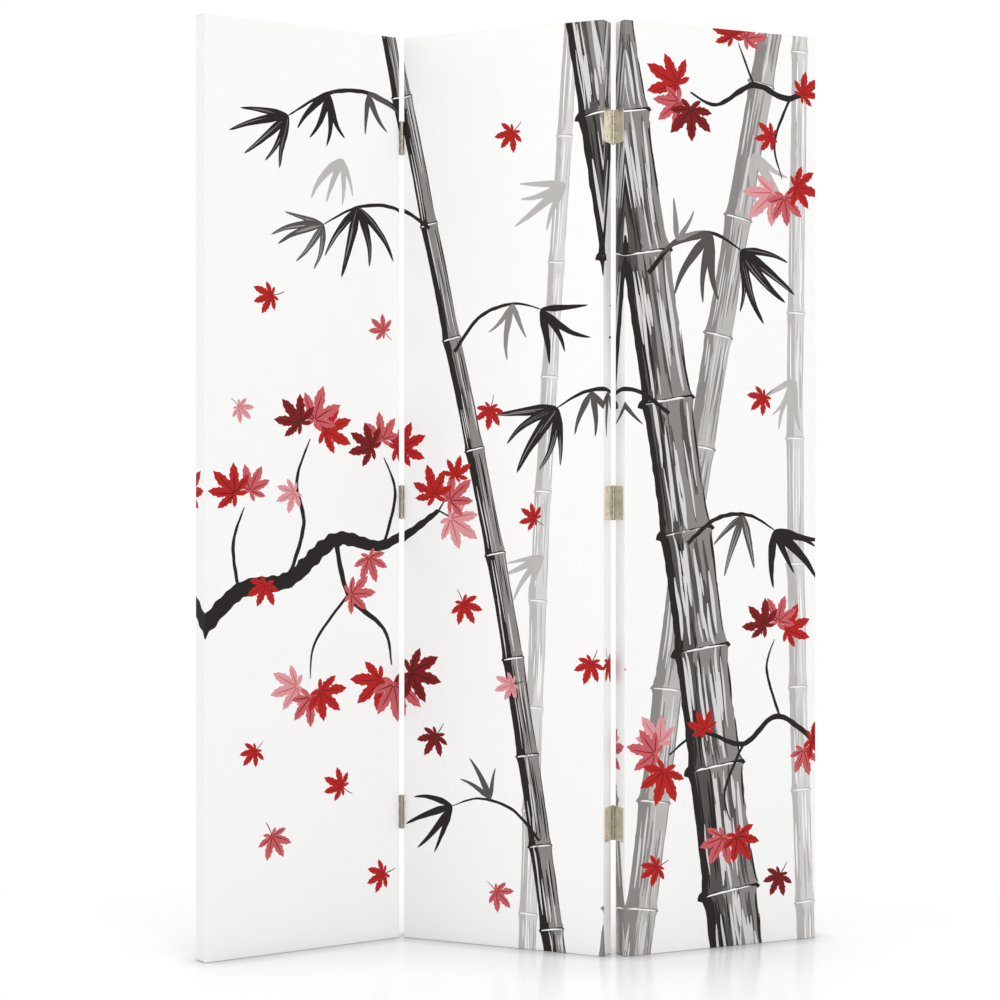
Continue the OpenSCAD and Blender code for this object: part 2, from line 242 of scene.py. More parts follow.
SETTINGS = {
    "screen_stage": StageSettings,
    "screen_canvas": CanvasSettings,
    "screen_ink": InkSettings,
    "screen_frame": FrameSettings,
    "screen_hinge": HingeSettings,
}


# Meshes

def points_of(mesh):
    found = np.empty(len(mesh.vertices) * 3, np.float32)
    mesh.vertices.foreach_get("co", found)
    return found.reshape(-1, 3).astype(float)


def new_piece(name, points, faces, materials=(), tones=None):
    """A mesh object from points in metres. tones gives the number of each face's material."""
    mesh = bpy.data.meshes.new(name)
    mesh.from_pydata([tuple(p) for p in points], [], [tuple(f) for f in faces])
    for material in materials:
        mesh.materials.append(material)
    if tones is not None:
        mesh.polygons.foreach_set("material_index", np.asarray(tones, np.int32))
    mesh.update()
    piece = bpy.data.objects.new(name, mesh)
    bpy.context.scene.collection.objects.link(piece)
    return piece


def closed_piece(name, points, faces, sharp, materials=(), tones=None):
    """A closed mesh whose faces point outwards, with edges shown past the angle sharp, in degrees."""
    piece = new_piece(name, points, faces, materials, tones)
    shape = bmesh.new()
    shape.from_mesh(piece.data)
    bmesh.ops.remove_doubles(shape, verts=shape.verts, dist=MERGE)
    bmesh.ops.recalc_face_normals(shape, faces=shape.faces)
    shape.to_mesh(piece.data)
    shape.free()
    piece.data.shade_smooth()
    piece.data.set_sharp_from_angle(angle=math.radians(sharp))
    return piece


def panel_matrix(panel):
    """From a panel's own frame, in millimetres, to the row's.

    X runs across the panel's front from its middle, Y from its front to its back, and Z up.
    """
    low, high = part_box(f"{panel}_panel_canvas")
    middle = (low + high) / 2
    return (Matrix.Translation((middle.x, middle.y, 0))
            @ Matrix.Rotation(math.radians(TURNS[panel]), 4, "Z")
            @ Matrix.Scale(MM, 4)
            @ Matrix.Translation((0, -PANEL_T / 2, 0)))


def placed(points, matrix):
    m = np.array(matrix)
    return np.asarray(points, float) @ m[:3, :3].T + m[:3, 3]


def solids_of(node):
    """The points of each separate solid of a CAD node, in metres."""
    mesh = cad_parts[node].data
    mesh.calc_loop_triangles()
    corners = np.empty(len(mesh.loop_triangles) * 3, np.int32)
    mesh.loop_triangles.foreach_get("vertices", corners)
    places, same = np.unique(np.round(points_of(mesh), 6), axis=0, return_inverse=True)
    faces = same.reshape(-1)[corners].reshape(-1, 3)
    label = np.arange(len(places))
    while True:
        lower = label.copy()
        np.minimum.at(lower, faces.ravel(), np.repeat(label[faces].min(1), 3))
        lower = lower[lower]
        if (lower == label).all():
            return [places[label == k] for k in np.unique(label)]
        label = lower


def circle(middle, radius, steps):
    turns = [2 * math.pi * k / steps for k in range(steps)]
    return [(middle[0] + radius * math.cos(t), middle[1] + radius * math.sin(t)) for t in turns]


def within(points, outline):
    """Which points an outline winds round."""
    x, y = points[:, :1], points[:, 1:]
    (x0, y0), (x1, y1) = outline.T, np.roll(outline, -1, axis=0).T
    left = (x1 - x0) * (y - y0) - (x - x0) * (y1 - y0)
    up = (y0 <= y) & (y1 > y) & (left > 0)
    down = (y0 > y) & (y1 <= y) & (left < 0)
    return (up.sum(1) - down.sum(1)) != 0


def filled(loops):
    """Triangles that fill an outline with holes. Their corners count through the loops, outline first."""
    flat, edges = [], []
    for loop in loops:
        first = len(flat)
        flat += [Vector(p) for p in loop]
        edges += [(first + i, first + (i + 1) % len(loop)) for i in range(len(loop))]
    shape, _, faces, *_ = delaunay_2d_cdt(flat, edges, [], 1, TOLERANCE)
    if len(shape) != len(flat):
        raise ValueError("the outlines of a filled shape cross")
    middles = np.array([np.mean([shape[k] for k in face], axis=0) for face in faces])
    outline, *holes = [np.array(loop) for loop in loops]
    kept = within(middles, outline)
    for hole in holes:
        kept &= ~within(middles, hole)
    return [face for face, keep in zip(faces, kept) if keep]


class Shape:
    """Points and faces that grow as parts are added."""

    def __init__(self):
        self.points = []
        self.faces = []

    def ring(self, points):
        first = len(self.points)
        self.points += [tuple(p) for p in points]
        return list(range(first, len(self.points)))

    def skin(self, a, b):
        """Faces between two closed rings with as many points."""
        n = len(a)
        self.faces += [(a[i], a[(i + 1) % n], b[(i + 1) % n], b[i]) for i in range(n)]

    def skins(self, rings, flip=False):
        """Faces between each ring and the next."""
        for a, b in zip(rings, rings[1:]):
            self.skin(*((b, a) if flip else (a, b)))

    def cap(self, ring):
        self.faces.append(tuple(ring))

    def flat(self, rings, at):
        """Fills a flat outline with holes, given as rings. at gives a point's two flat coordinates."""
        own = [k for ring in rings for k in ring]
        faces = filled([[at(self.points[k]) for k in ring] for ring in rings])
        self.faces += [tuple(own[k] for k in face) for face in faces]

    def turning(self, profile, steps=ROUND_STEPS):
        """A closed profile of (radius, height) points spun round Z. A radius of 0 is a pole."""
        rings = []
        for radius, height in profile:
            spun = circle((0, 0), radius, steps if radius > 0 else 1)
            rings.append(self.ring([(x, y, height) for x, y in spun]))
        for a, b in zip(rings, rings[1:]):
            if len(a) == 1 and len(b) > 1:
                self.faces += [(a[0], b[(i + 1) % steps], b[i]) for i in range(steps)]
            elif len(b) == 1 and len(a) > 1:
                self.faces += [(a[i], a[(i + 1) % steps], b[0]) for i in range(steps)]
            elif len(a) > 1:
                self.skin(a, b)


# Shader trees

def by_identifier(sockets, identifier):
    return next(s for s in sockets if s.identifier == identifier)


def plug(tree, socket, value):
    """Links an output to an input socket, or gives the socket a plain value."""
    if isinstance(value, bpy.types.NodeSocket):
        tree.links.new(value, socket)
    else:
        socket.default_value = value


def feed(tree, node, **inputs):
    """Plugs values into a node's inputs by name, with _ for a space."""
    for name, value in inputs.items():
        plug(tree, node.inputs[name.replace("_", " ")], value)


def put(tree, kind, links=(), **values):
    """A node with its properties from values, and its inputs from (name or number, value) links."""
    node = tree.nodes.new(kind)
    for name, value in values.items():
        setattr(node, name, value)
    for name, value in links:
        plug(tree, node.inputs[name], value)
    return node


def maths(tree, operation, *inputs):
    return put(tree, "ShaderNodeMath", enumerate(inputs), operation=operation).outputs[0]


def noise(tree, vector, scale, detail=2.0, roughness=0.5):
    links = (("Vector", vector), ("Scale", scale), ("Detail", detail), ("Roughness", roughness))
    return put(tree, "ShaderNodeTexNoise", links).outputs["Fac"]


def stretched(tree, vector, x, y, z):
    return put(tree, "ShaderNodeVectorMath", ((0, vector), (1, (x, y, z))), operation="MULTIPLY").outputs[0]


def size_of(tree, vector):
    return put(tree, "ShaderNodeVectorMath", ((0, vector),), operation="LENGTH").outputs["Value"]


def between(tree, share, a, b):
    """A colour between two colours or sockets."""
    node = put(tree, "ShaderNodeMix", data_type="RGBA")
    for name, value in (("Factor_Float", share), ("A_Color", a), ("B_Color", b)):
        plug(tree, by_identifier(node.inputs, name), value)
    return by_identifier(node.outputs, "Result_Color")


def remap(tree, value, low, high, to_low, to_high):
    links = (("Value", value), ("From Min", low), ("From Max", high),
             ("To Min", to_low), ("To Max", to_high))
    return put(tree, "ShaderNodeMapRange", links).outputs["Result"]


def tree_of(name):
    material = bpy.data.materials.new(name)
    material.use_nodes = True
    tree = material.node_tree
    tree.nodes.clear()
    output = tree.nodes.new("ShaderNodeOutputMaterial")
    shader = tree.nodes.new("ShaderNodeBsdfPrincipled")
    tree.links.new(shader.outputs["BSDF"], output.inputs["Surface"])
    return material, tree, shader


def bumped(tree, height, depth, strength):
    """A normal from a height that raises the surface by up to depth metres."""
    links = (("Height", height), ("Distance", depth), ("Strength", strength))
    return put(tree, "ShaderNodeBump", links).outputs["Normal"]


def group(name, inputs, outputs):
    """An empty shader group. inputs are (name, kind, default) triples, and outputs names of numbers."""
    tree = bpy.data.node_groups.new(name, "ShaderNodeTree")
    for label, kind, default in inputs:
        socket = tree.interface.new_socket(name=label, in_out="INPUT", socket_type=f"NodeSocket{kind}")
        if default is not None:
            socket.default_value = default
    for label in outputs:
        tree.interface.new_socket(name=label, in_out="OUTPUT", socket_type="NodeSocketFloat")
    return tree, tree.nodes.new("NodeGroupInput").outputs, tree.nodes.new("NodeGroupOutput")


def weave_group():
    """Plain weave: each thread goes over one and under the next, and swells and thins along its way."""
    inputs = (("Vector", "Vector", None), ("Pitch", "Float", 0.0008))
    tree, given, out = group("Plain weave", inputs, ("Height", "Valley", "Mottle"))
    vector = given["Vector"]
    place = put(tree, "ShaderNodeSeparateXYZ", ((0, vector),)).outputs
    half_turns = maths(tree, "DIVIDE", math.pi, given["Pitch"])
    warp = maths(tree, "SINE", maths(tree, "MULTIPLY", place[0], half_turns))
    weft = maths(tree, "SINE", maths(tree, "MULTIPLY", place[1], half_turns))
    over = maths(tree, "MULTIPLY", warp, weft)
    threads = []
    for wave, lean, slub in ((warp, 0.45, (900, 40, 0)), (weft, -0.45, (40, 900, 0))):
        uneven = noise(tree, stretched(tree, vector, *slub), 1.0)
        rise = maths(tree, "MULTIPLY_ADD", over, lean, uneven)
        threads.append(maths(tree, "MULTIPLY", maths(tree, "ABSOLUTE", wave), rise))
    height = maths(tree, "MAXIMUM", *threads)
    # Valley marks where the threads dip; the cloth's material paints these darker as shade on bare cloth
    valley = remap(tree, height, 0.05, 0.32, 1.0, 0.0)
    feed(tree, out, Height=height, Valley=valley, Mottle=noise(tree, vector, 28.0, 5.0, 0.6))
    return tree


def wood_group():
    """Growth rings, fibres and knots of a board whose grain runs along X."""
    inputs = (("Vector", "Vector", None), ("Ring", "Float", 0.004), ("Knots", "Float", 1.0))
    tree, given, out = group("Board grain", inputs, ("Rings", "Fibre", "Knot", "Height"))
    vector = given["Vector"]
    places = stretched(tree, vector, 3.1, 9, 9)
    cells = put(tree, "ShaderNodeTexVoronoi", (("Vector", places), ("Scale", 1.0)))
    near = remap(tree, cells.outputs["Distance"], 0.02, 0.34, 1.0, 0.0)
    near = maths(tree, "MULTIPLY", near, given["Knots"])
    pull = maths(tree, "POWER", near, 3.0)
    heart = remap(tree, near, 0.80, 0.93, 0.0, 1.0)
    waver = noise(tree, stretched(tree, vector, 3.0, 14, 14), 1.0, 2.0)
    wide = maths(tree, "DIVIDE", size_of(tree, stretched(tree, vector, 0, 1, 1)), given["Ring"])
    phase = maths(tree, "MULTIPLY_ADD", waver, 5.0, wide)
    turn = maths(tree, "FRACT", maths(tree, "ADD", phase, maths(tree, "MULTIPLY", pull, 5.0)))
    late = maths(tree, "POWER", turn, 3.2)
    ring = maths(tree, "MULTIPLY", late, remap(tree, turn, 0.94, 1.0, 1.0, 0.15))
    fibre = noise(tree, stretched(tree, vector, 26, 1500, 1500), 1.0, 3.0, 0.65)
    height = maths(tree, "MULTIPLY_ADD", fibre, 0.6, maths(tree, "MULTIPLY", ring, 0.4))
    feed(tree, out, Rings=ring, Fibre=fibre, Knot=heart, Height=height)
    return tree


def metal_group():
    """Fine rolling marks, smudges and dull patches of bare metal."""
    inputs = (("Vector", "Vector", None), ("Marks", "Float", 1.0))
    tree, given, out = group("Handled metal", inputs, ("Roughness", "Dull", "Height"))
    vector = given["Vector"]
    marks = noise(tree, stretched(tree, vector, 3000, 3000, 90), 1.0, 2.0, 0.6)
    smudge = noise(tree, vector, 170.0, 4.0, 0.6)
    patches = noise(tree, vector, 60.0, 3.0, 0.55)
    feed(tree, out, Roughness=remap(tree, smudge, 0.3, 0.7, 0.24, 0.42),
         Dull=remap(tree, patches, 0.42, 0.72, 0.0, 1.0),
         Height=maths(tree, "MULTIPLY", marks, given["Marks"]))
    return tree


def shared(tree, made, **inputs):
    """Places a shader group in a tree, and builds it if it isn't there yet. Gives its outputs."""
    found = bpy.data.node_groups.get(made.__name__)
    if found is None:
        found = made()
        found.name = made.__name__
    node = put(tree, "ShaderNodeGroup", node_tree=found)
    feed(tree, node, **inputs)
    return node.outputs


def cloth_material(name, tint, pitch, depth, ink=0.0):
    """Canvas of one colour, with painted shade in the weave's valleys where there is no ink. ink is how far
    the cloth shows through a printed tone.
    """
    material, tree, shader = tree_of(name)
    place = put(tree, "ShaderNodeUVMap", uv_map="cloth").outputs["UV"]
    weave = shared(tree, weave_group, Vector=place, Pitch=pitch)
    # Under ink the valleys are lighter, where bare cloth shows through; on bare cloth they are painted
    # darker, as shade between the threads
    if ink:
        deepness, darker = 0.35, 1 - 0.5 * ink
        valley = [min(1.0, c * (1 + ink) + 0.25 * ink) for c in tint[:3]]
    else:
        deepness, darker = 0.22, 0.99
        valley = [c * 0.9 for c in tint[:3]]
    mottle = remap(tree, weave["Mottle"], 0.35, 0.68, 0.0, 1.0)
    worn = between(tree, mottle, (*[c * darker for c in tint[:3]], 1), tuple(tint))
    share = maths(tree, "MULTIPLY", weave["Valley"], deepness)
    feed(tree, shader, Base_Color=between(tree, share, worn, (*valley, 1)), Specular_IOR_Level=0.25,
         Roughness=remap(tree, weave["Mottle"], 0.3, 0.7, 0.88 - 0.6 * ink, 0.96 - 0.6 * ink),
         Normal=bumped(tree, weave["Height"], depth, 0.8))
    return material


def wood_material(name, turn, along, pale, dark, knot, ring, knots, seed):
    """A board. turn is its panel's, in degrees, and along is "X" for a rail and "Z" for a stile."""
    material, tree, shader = tree_of(name)
    rng = random.Random(seed)
    place = put(tree, "ShaderNodeTexCoord").outputs["Object"]
    level = put(tree, "ShaderNodeMapping", (("Vector", place), ("Rotation", (0, 0, -math.radians(turn)))))
    tip = (0, math.radians(90), 0) if along == "Z" else (0, 0, 0)
    start = (rng.uniform(-9, 9), rng.uniform(0.03, 0.12), rng.uniform(-0.05, 0.05))
    links = (("Vector", level.outputs[0]), ("Rotation", tip), ("Location", start))
    board = put(tree, "ShaderNodeMapping", links).outputs[0]
    grain = shared(tree, wood_group, Vector=board, Ring=ring, Knots=knots)
    rings = between(tree, maths(tree, "MULTIPLY", grain["Rings"], 0.8), tuple(pale), tuple(dark))
    streaked = between(tree, remap(tree, grain["Fibre"], 0.35, 0.75, 0.0, 0.30), rings, tuple(dark))
    feed(tree, shader, Base_Color=between(tree, grain["Knot"], streaked, tuple(knot)),
         Specular_IOR_Level=0.4, Roughness=remap(tree, grain["Rings"], 0.0, 1.0, 0.62, 0.48),
         Normal=bumped(tree, grain["Height"], 0.0002, 0.35))
    return material


def metal_material(name, bright, dull, marks=1.0):
    """Bare metal. marks is how deep its rolling marks are."""
    material, tree, shader = tree_of(name)
    place = put(tree, "ShaderNodeTexCoord").outputs["Object"]
    worn = shared(tree, metal_group, Vector=place, Marks=marks)
    share = maths(tree, "MULTIPLY", worn["Dull"], 0.55)
    feed(tree, shader, Base_Color=between(tree, share, tuple(bright), tuple(dull)), Metallic=1.0,
         Roughness=worn["Roughness"], Normal=bumped(tree, worn["Height"], 0.00004, 0.4))
    return material


# The print's design: bamboo stems and maple leaves in brush strokes.
# Sizes are in millimetres, from the left panel's lower left corner.

FIERY = ((RED, DEEP), (ROSE, DEEP), (DEEP, BLACK))
WARM = ((ROSE, DEEP), (RED, BLACK))
TENDER = ((BLUSH, ROSE), (ROSE, DEEP), (RED, DEEP))


def curve_through(points, step=6.0):
    """Points along a smooth curve through the given ones."""
    ends = [points[0], *points, points[-1]]
    line = []
    for a, b, c, d in zip(ends, ends[1:], ends[2:], ends[3:]):
        count = max(1, round(math.dist(b, c) / step))
        for t in (k / count for k in range(count)):
            line.append(tuple(
                0.5 * (2 * b[j] + (c[j] - a[j]) * t + (2 * a[j] - 5 * b[j] + 4 * c[j] - d[j]) * t * t
                       + (3 * b[j] - a[j] - 3 * c[j] + d[j]) * t ** 3)
                for j in (0, 1)))
    return [*line, tuple(points[-1])]


def sideways(line):
    """The unit normal, to the left of the way, at each point of a line."""
    found = []
    for (x0, y0), (x1, y1) in zip([line[0], *line[:-1]], [*line[1:], line[-1]]):
        size = math.hypot(x1 - x0, y1 - y0) or 1.0
        found.append(((y0 - y1) / size, (x1 - x0) / size))
    return found


def ribbon(line, left, right):
    """A band's outline. It reaches left(s) and right(s) to the sides of a line, for s from 0 to 1."""
    last = len(line) - 1
    sets = [(i / last, p, n) for i, (p, n) in enumerate(zip(line, sideways(line)))]
    near = [(x + nx * left(s), y + ny * left(s)) for s, (x, y), (nx, ny) in sets]
    far = [(x - nx * right(s), y - ny * right(s)) for s, (x, y), (nx, ny) in sets]
    return near + far[::-1]


class Brush:
    """Gathers the design's shapes, each a tone and an outline, in the order in which they are laid down."""

    def __init__(self, seed):
        self.rng = random.Random(seed)
        self.shapes = []

    def lay(self, tone, outline):
        self.shapes.append((tone, np.array(outline)))

    def wander(self, size, beat):
        """A smooth random function of s that strays by about size, in about beat waves to the unit."""
        waves = [(self.rng.uniform(0.6, 1.6) * beat, self.rng.uniform(0, 6.3), self.rng.uniform(0.3, 1.0))
                 for _ in range(4)]
        total = sum(high for _, _, high in waves)
        return lambda s: size * sum(high * math.sin(6.283 * rate * s + start)
                                    for rate, start, high in waves) / total

    def stroke(self, tone, points, width, ends=(0.35, 0.0), rough=0.06, step=6.0):
        """A brush stroke. ends gives its width at the start and the end as shares of its full width."""
        line = curve_through(points, step)
        long = sum(math.dist(a, b) for a, b in zip(line, line[1:]))
        edges = [self.wander(rough * width, long / 30) for _ in range(2)]

        def half(s, edge):
            rise = ends[0] + (1 - ends[0]) * min(1.0, s / 0.12) ** 0.7
            fall = ends[1] + (1 - ends[1]) * min(1.0, (1 - s) / 0.45) ** 0.8
            return max(0.08, (width / 2 + edge(s)) * min(rise, fall))

        self.lay(tone, ribbon(line, lambda s: half(s, edges[0]), lambda s: half(s, edges[1])))

    def streaks(self, tone, line, reach, count, thick, share, band):
        """Slivers along a line, as a dry brush leaves them.

        reach(s) is the half width there, and band the part of it that they fill. share is how much
        of the line a sliver takes.
        """
        last = len(line) - 1
        normal = sideways(line)
        for _ in range(count):
            across = self.rng.uniform(*band)
            part = self.rng.uniform(*share)
            start = self.rng.uniform(0, 1 - part)
            sway = self.wander(0.05, 1.2)
            high = thick * self.rng.uniform(0.5, 1.4) / 2
            run = range(int(start * last), min(last, int((start + part) * last) + 1) + 1)
            if len(run) < 3:
                continue
            middle = [tuple(line[i][k] + normal[i][k] * reach(i / last) * (across + sway(i / last))
                            for k in (0, 1)) for i in run]
            swell = lambda s, high=high: max(0.05, high * math.sin(math.pi * (0.04 + 0.92 * s)) ** 0.6)
            self.lay(tone, ribbon(middle, swell, swell))

    def internode(self, a, b, width, tones):
        """A length of stem between two joints, shaded on its left and lit on its right."""
        body, shade, ink, light = tones
        long = math.dist(a, b)
        bow = self.rng.uniform(-0.006, 0.006) * long
        line = curve_through([a, ((a[0] + b[0]) / 2 + bow, (a[1] + b[1]) / 2), b], 12.0)
        half = lambda s: width / 2 * (1 + 0.13 * abs(2 * s - 1) ** 5)
        left, right = (self.wander(0.018 * width, 5) for _ in range(2))
        self.lay(body, ribbon(line, lambda s: half(s) + left(s), lambda s: half(s) + right(s)))
        for tone, deep, tear in ((shade, self.rng.uniform(0.30, 0.46), self.wander(0.10, 9)),
                                 (ink, self.rng.uniform(0.10, 0.17), self.wander(0.05, 11))):
            inner = lambda s, deep=deep, tear=tear: -half(s) * (1 - 2 * deep - tear(s))
            self.lay(tone, ribbon(line, lambda s: half(s) + left(s) + 0.4, inner))
        count = max(3, round(width / 6))
        self.streaks(ink, line, half, count, 0.035 * width + 0.5, (0.18, 0.7), (0.1, 0.9))
        self.streaks(shade, line, half, count, 0.05 * width + 0.5, (0.2, 0.6), (-0.75, 0.3))
        self.streaks(light, line, half, count, 0.05 * width + 0.4, (0.15, 0.6), (-0.8, 0.75))
        self.streaks(ink, line, half, 3, 0.03 * width + 0.5, (0.25, 0.5), (-1.0, -0.93))

    def joint(self, place, way, width, tone):
        """The ring between two lengths of a stem, with hooked ends."""
        half = width / 2
        arc = ((1.16, -0.16), (1.02, 0.04), (0.5, 0.13), (-0.4, 0.12), (-1.0, 0.02), (-1.14, -0.12))
        points = [(place[0] - way[1] * u * half + way[0] * v * half,
                   place[1] + way[0] * u * half + way[1] * v * half) for u, v in arc]
        self.stroke(tone, points, max(1.6, 0.12 * width), (0.9, 0.5), 0.12, 3.0)

    def stem(self, points, widths, tones, first, grow=1.04, gap=2.0):
        """A bamboo stem from its foot up.

        first is its lowest joint's spacing, grow how much wider each next one is, and gap the bare
        cloth beside a joint.
        """
        line = np.array(curve_through(points, 4.0))
        along = np.concatenate([[0], np.cumsum(np.linalg.norm(np.diff(line, axis=0), axis=1))])
        at = lambda d: tuple(float(np.interp(d, along, line[:, k])) for k in (0, 1))
        low, run = -0.4 * first, first
        while low < along[-1]:
            high = low + run * self.rng.uniform(0.92, 1.08)
            width = widths[0] + (widths[1] - widths[0]) * min(1.0, max(0.0, low / along[-1]))
            a, b = at(low + gap), at(high - gap)
            if math.dist(a, b) > 10:
                self.internode(a, b, width, tones)
            if high < along[-1]:
                before, after = at(high - 6), at(high + 6)
                size = math.dist(before, after)
                way = ((after[0] - before[0]) / size, (after[1] - before[1]) / size)
                self.joint(at(high), way, width, tones[2])
            low, run = high, run * grow

    def blade(self, place, angle, long, width, tone, vein):
        """A bamboo leaf from its stalk."""
        bend = self.rng.uniform(-0.10, 0.10) * long
        c, s = math.cos(math.radians(angle)), math.sin(math.radians(angle))
        at = lambda u, v: (place[0] + c * u - s * v, place[1] + s * u + c * v)
        middle = [at(0, 0), at(0.35 * long, bend * 0.7), at(0.7 * long, bend * 0.8), at(long, 0)]
        line = curve_through(middle, long / 16)
        half = lambda t: max(0.12, 0.59 * width * min(1, t / 0.28) ** 0.75 * (1 - t) ** 0.62)
        uneven = self.wander(0.03 * width, 3)
        self.lay(tone, ribbon(line, lambda t: half(t) + uneven(t) * min(1, 8 * t * (1 - t)), half))
        if vein is not None:
            self.streaks(vein, line, half, 2, 0.07 * width, (0.35, 0.7), (-0.45, 0.45))

    def spray(self, place, angle, size, count, tone, vein=None, fan=50):
        """Bamboo leaves that fan out from one point."""
        for k in range(count):
            out = (k + 0.5) / count * 2 - 1
            long = size * self.rng.uniform(0.72, 1.05) * (1 - 0.25 * abs(out))
            way = angle + fan * out + self.rng.uniform(-7, 7)
            self.blade(place, way, long, long * self.rng.uniform(0.13, 0.17), tone, vein)

    def twig(self, points, width):
        self.stroke(BLACK, points, width, (1.0, 0.25), 0.10, 5.0)

    def maple_leaf(self, place, angle, size, tone, vein, stalk=True):
        """A leaf with seven toothed lobes. angle points its middle one."""
        at = lambda a, r: (place[0] + size * r * math.cos(math.radians(angle + a)),
                           place[1] + size * r * math.sin(math.radians(angle + a)))
        teeth = ((0.46, 1.5), (0.50, 1.18), (0.64, 1.14), (0.68, 0.82), (0.82, 0.62), (0.86, 0.38))
        lobes = ((-128, 0.40), (-84, 0.70), (-42, 0.92), (0, 1.0), (42, 0.92), (84, 0.70), (128, 0.40))
        outline = []
        for a, r in lobes:
            a += self.rng.uniform(-4, 4)
            r *= self.rng.uniform(0.92, 1.06)
            wide = 14.5 if r > 0.5 else 17
            outline.append(at(a - (23 if r > 0.5 else 20), 0.42 if r > 0.5 else 0.32))
            outline += [at(a - wide * w, h * r) for h, w in teeth]
            outline.append(at(a, r))
            outline += [at(a + wide * w, h * r) for h, w in teeth[::-1]]
        self.lay(tone, [*outline, at(180, 0.06)])
        for a, r in lobes[1:-1]:
            rib = [at(a, 0.05), at(a + 2, 0.4 * r), at(a, 0.80 * r)]
            self.stroke(vein, rib, 0.035 * size, (1.0, 0.1), 0.1, size / 12)
        if stalk:
            self.stroke(BLACK if vein != DEEP else DEEP, [at(180, 0), at(172, 0.35), at(176, 0.62)],
                        0.045 * size, (0.8, 0.6), 0.1, size / 10)

    def maple(self, place, size, tones, angle):
        """A few maple leaves round the end of a twig."""
        many = len(tones) > 1
        for k, (tone, vein) in enumerate(tones):
            a = angle + (k - (len(tones) - 1) / 2) * 62 + self.rng.uniform(-12, 12)
            reach = size * (0.46 if many else 0.10)
            centre = (place[0] + reach * math.cos(math.radians(a)),
                      place[1] + reach * math.sin(math.radians(a)))
            self.maple_leaf(centre, a, size * self.rng.uniform(0.86, 1.1), tone, vein, False)


def far_bamboo(brush):
    """Pale stems and leaves that stand furthest back."""
    mist = (MIST, PALE, PALE, PAPER)
    brush.stem([(585, -30), (612, 700), (668, 1530)], (30, 24), mist, 150)
    brush.stem([(1062, -30), (1040, 700), (1050, 1530)], (34, 28), mist, 170)
    brush.stem([(735, -30), (850, 760), (1000, 1540)], (54, 42), (PALE, GREY, GREY, MIST), 165)
    for place, angle, size in (
        ((655, 1240), -150, 120), ((1040, 930), -120, 110), ((615, 640), -140, 100),
        ((960, 1300), -60, 110), ((250, 1290), -100, 110),
    ):
        brush.spray(place, angle, size, 4, PALE, fan=42)


def near_bamboo(brush):
    """Dark stems, with twigs that carry black and grey leaves."""
    brush.stem([(930, -30), (838, 640), (688, 1540)], (98, 76), (GREY, CHARCOAL, BLACK, MIST), 185)
    brush.stem([(640, -30), (545, 560), (430, 1080), (330, 1540)], (38, 24),
               (GREY, BLACK, BLACK, MIST), 130, 1.06)
    for width, points in (
        (7, [(365, 1377), (300, 1402), (225, 1395), (150, 1352)]),
        (6, [(408, 1180), (350, 1215), (280, 1212), (215, 1180)]),
        (6, [(454, 974), (500, 1030), (560, 1050), (610, 1040)]),
        (8, [(763, 1095), (815, 1150), (880, 1165), (935, 1140)]),
        (7, [(801, 870), (745, 905), (690, 905), (640, 880)]),
        (7, [(835, 660), (890, 700), (950, 705), (1000, 680)]),
        (5, [(608, 178), (560, 225), (500, 240), (450, 225)]),
    ):
        brush.twig(points, width)
    for place, angle, size, count, tone, vein in (
        ((225, 1395), -100, 120, 4, BLACK, None), ((150, 1352), -140, 135, 5, BLACK, GREY),
        ((300, 1402), -60, 100, 3, CHARCOAL, None), ((215, 1180), -150, 120, 5, CHARCOAL, PALE),
        ((280, 1212), -95, 130, 4, BLACK, GREY), ((610, 1040), -40, 110, 4, BLACK, None),
        ((560, 1050), -100, 95, 3, GREY, None), ((935, 1140), -50, 140, 5, BLACK, GREY),
        ((880, 1165), -115, 130, 4, CHARCOAL, None), ((815, 1150), 60, 80, 3, GREY, None),
        ((640, 880), -130, 135, 5, BLACK, GREY), ((700, 905), -80, 100, 3, CHARCOAL, None),
        ((1000, 680), -45, 125, 5, BLACK, None), ((940, 705), -110, 110, 3, CHARCOAL, PALE),
        ((450, 225), -150, 110, 4, BLACK, None), ((520, 240), 120, 80, 3, CHARCOAL, None),
    ):
        brush.spray(place, angle, size, count, tone, vein)


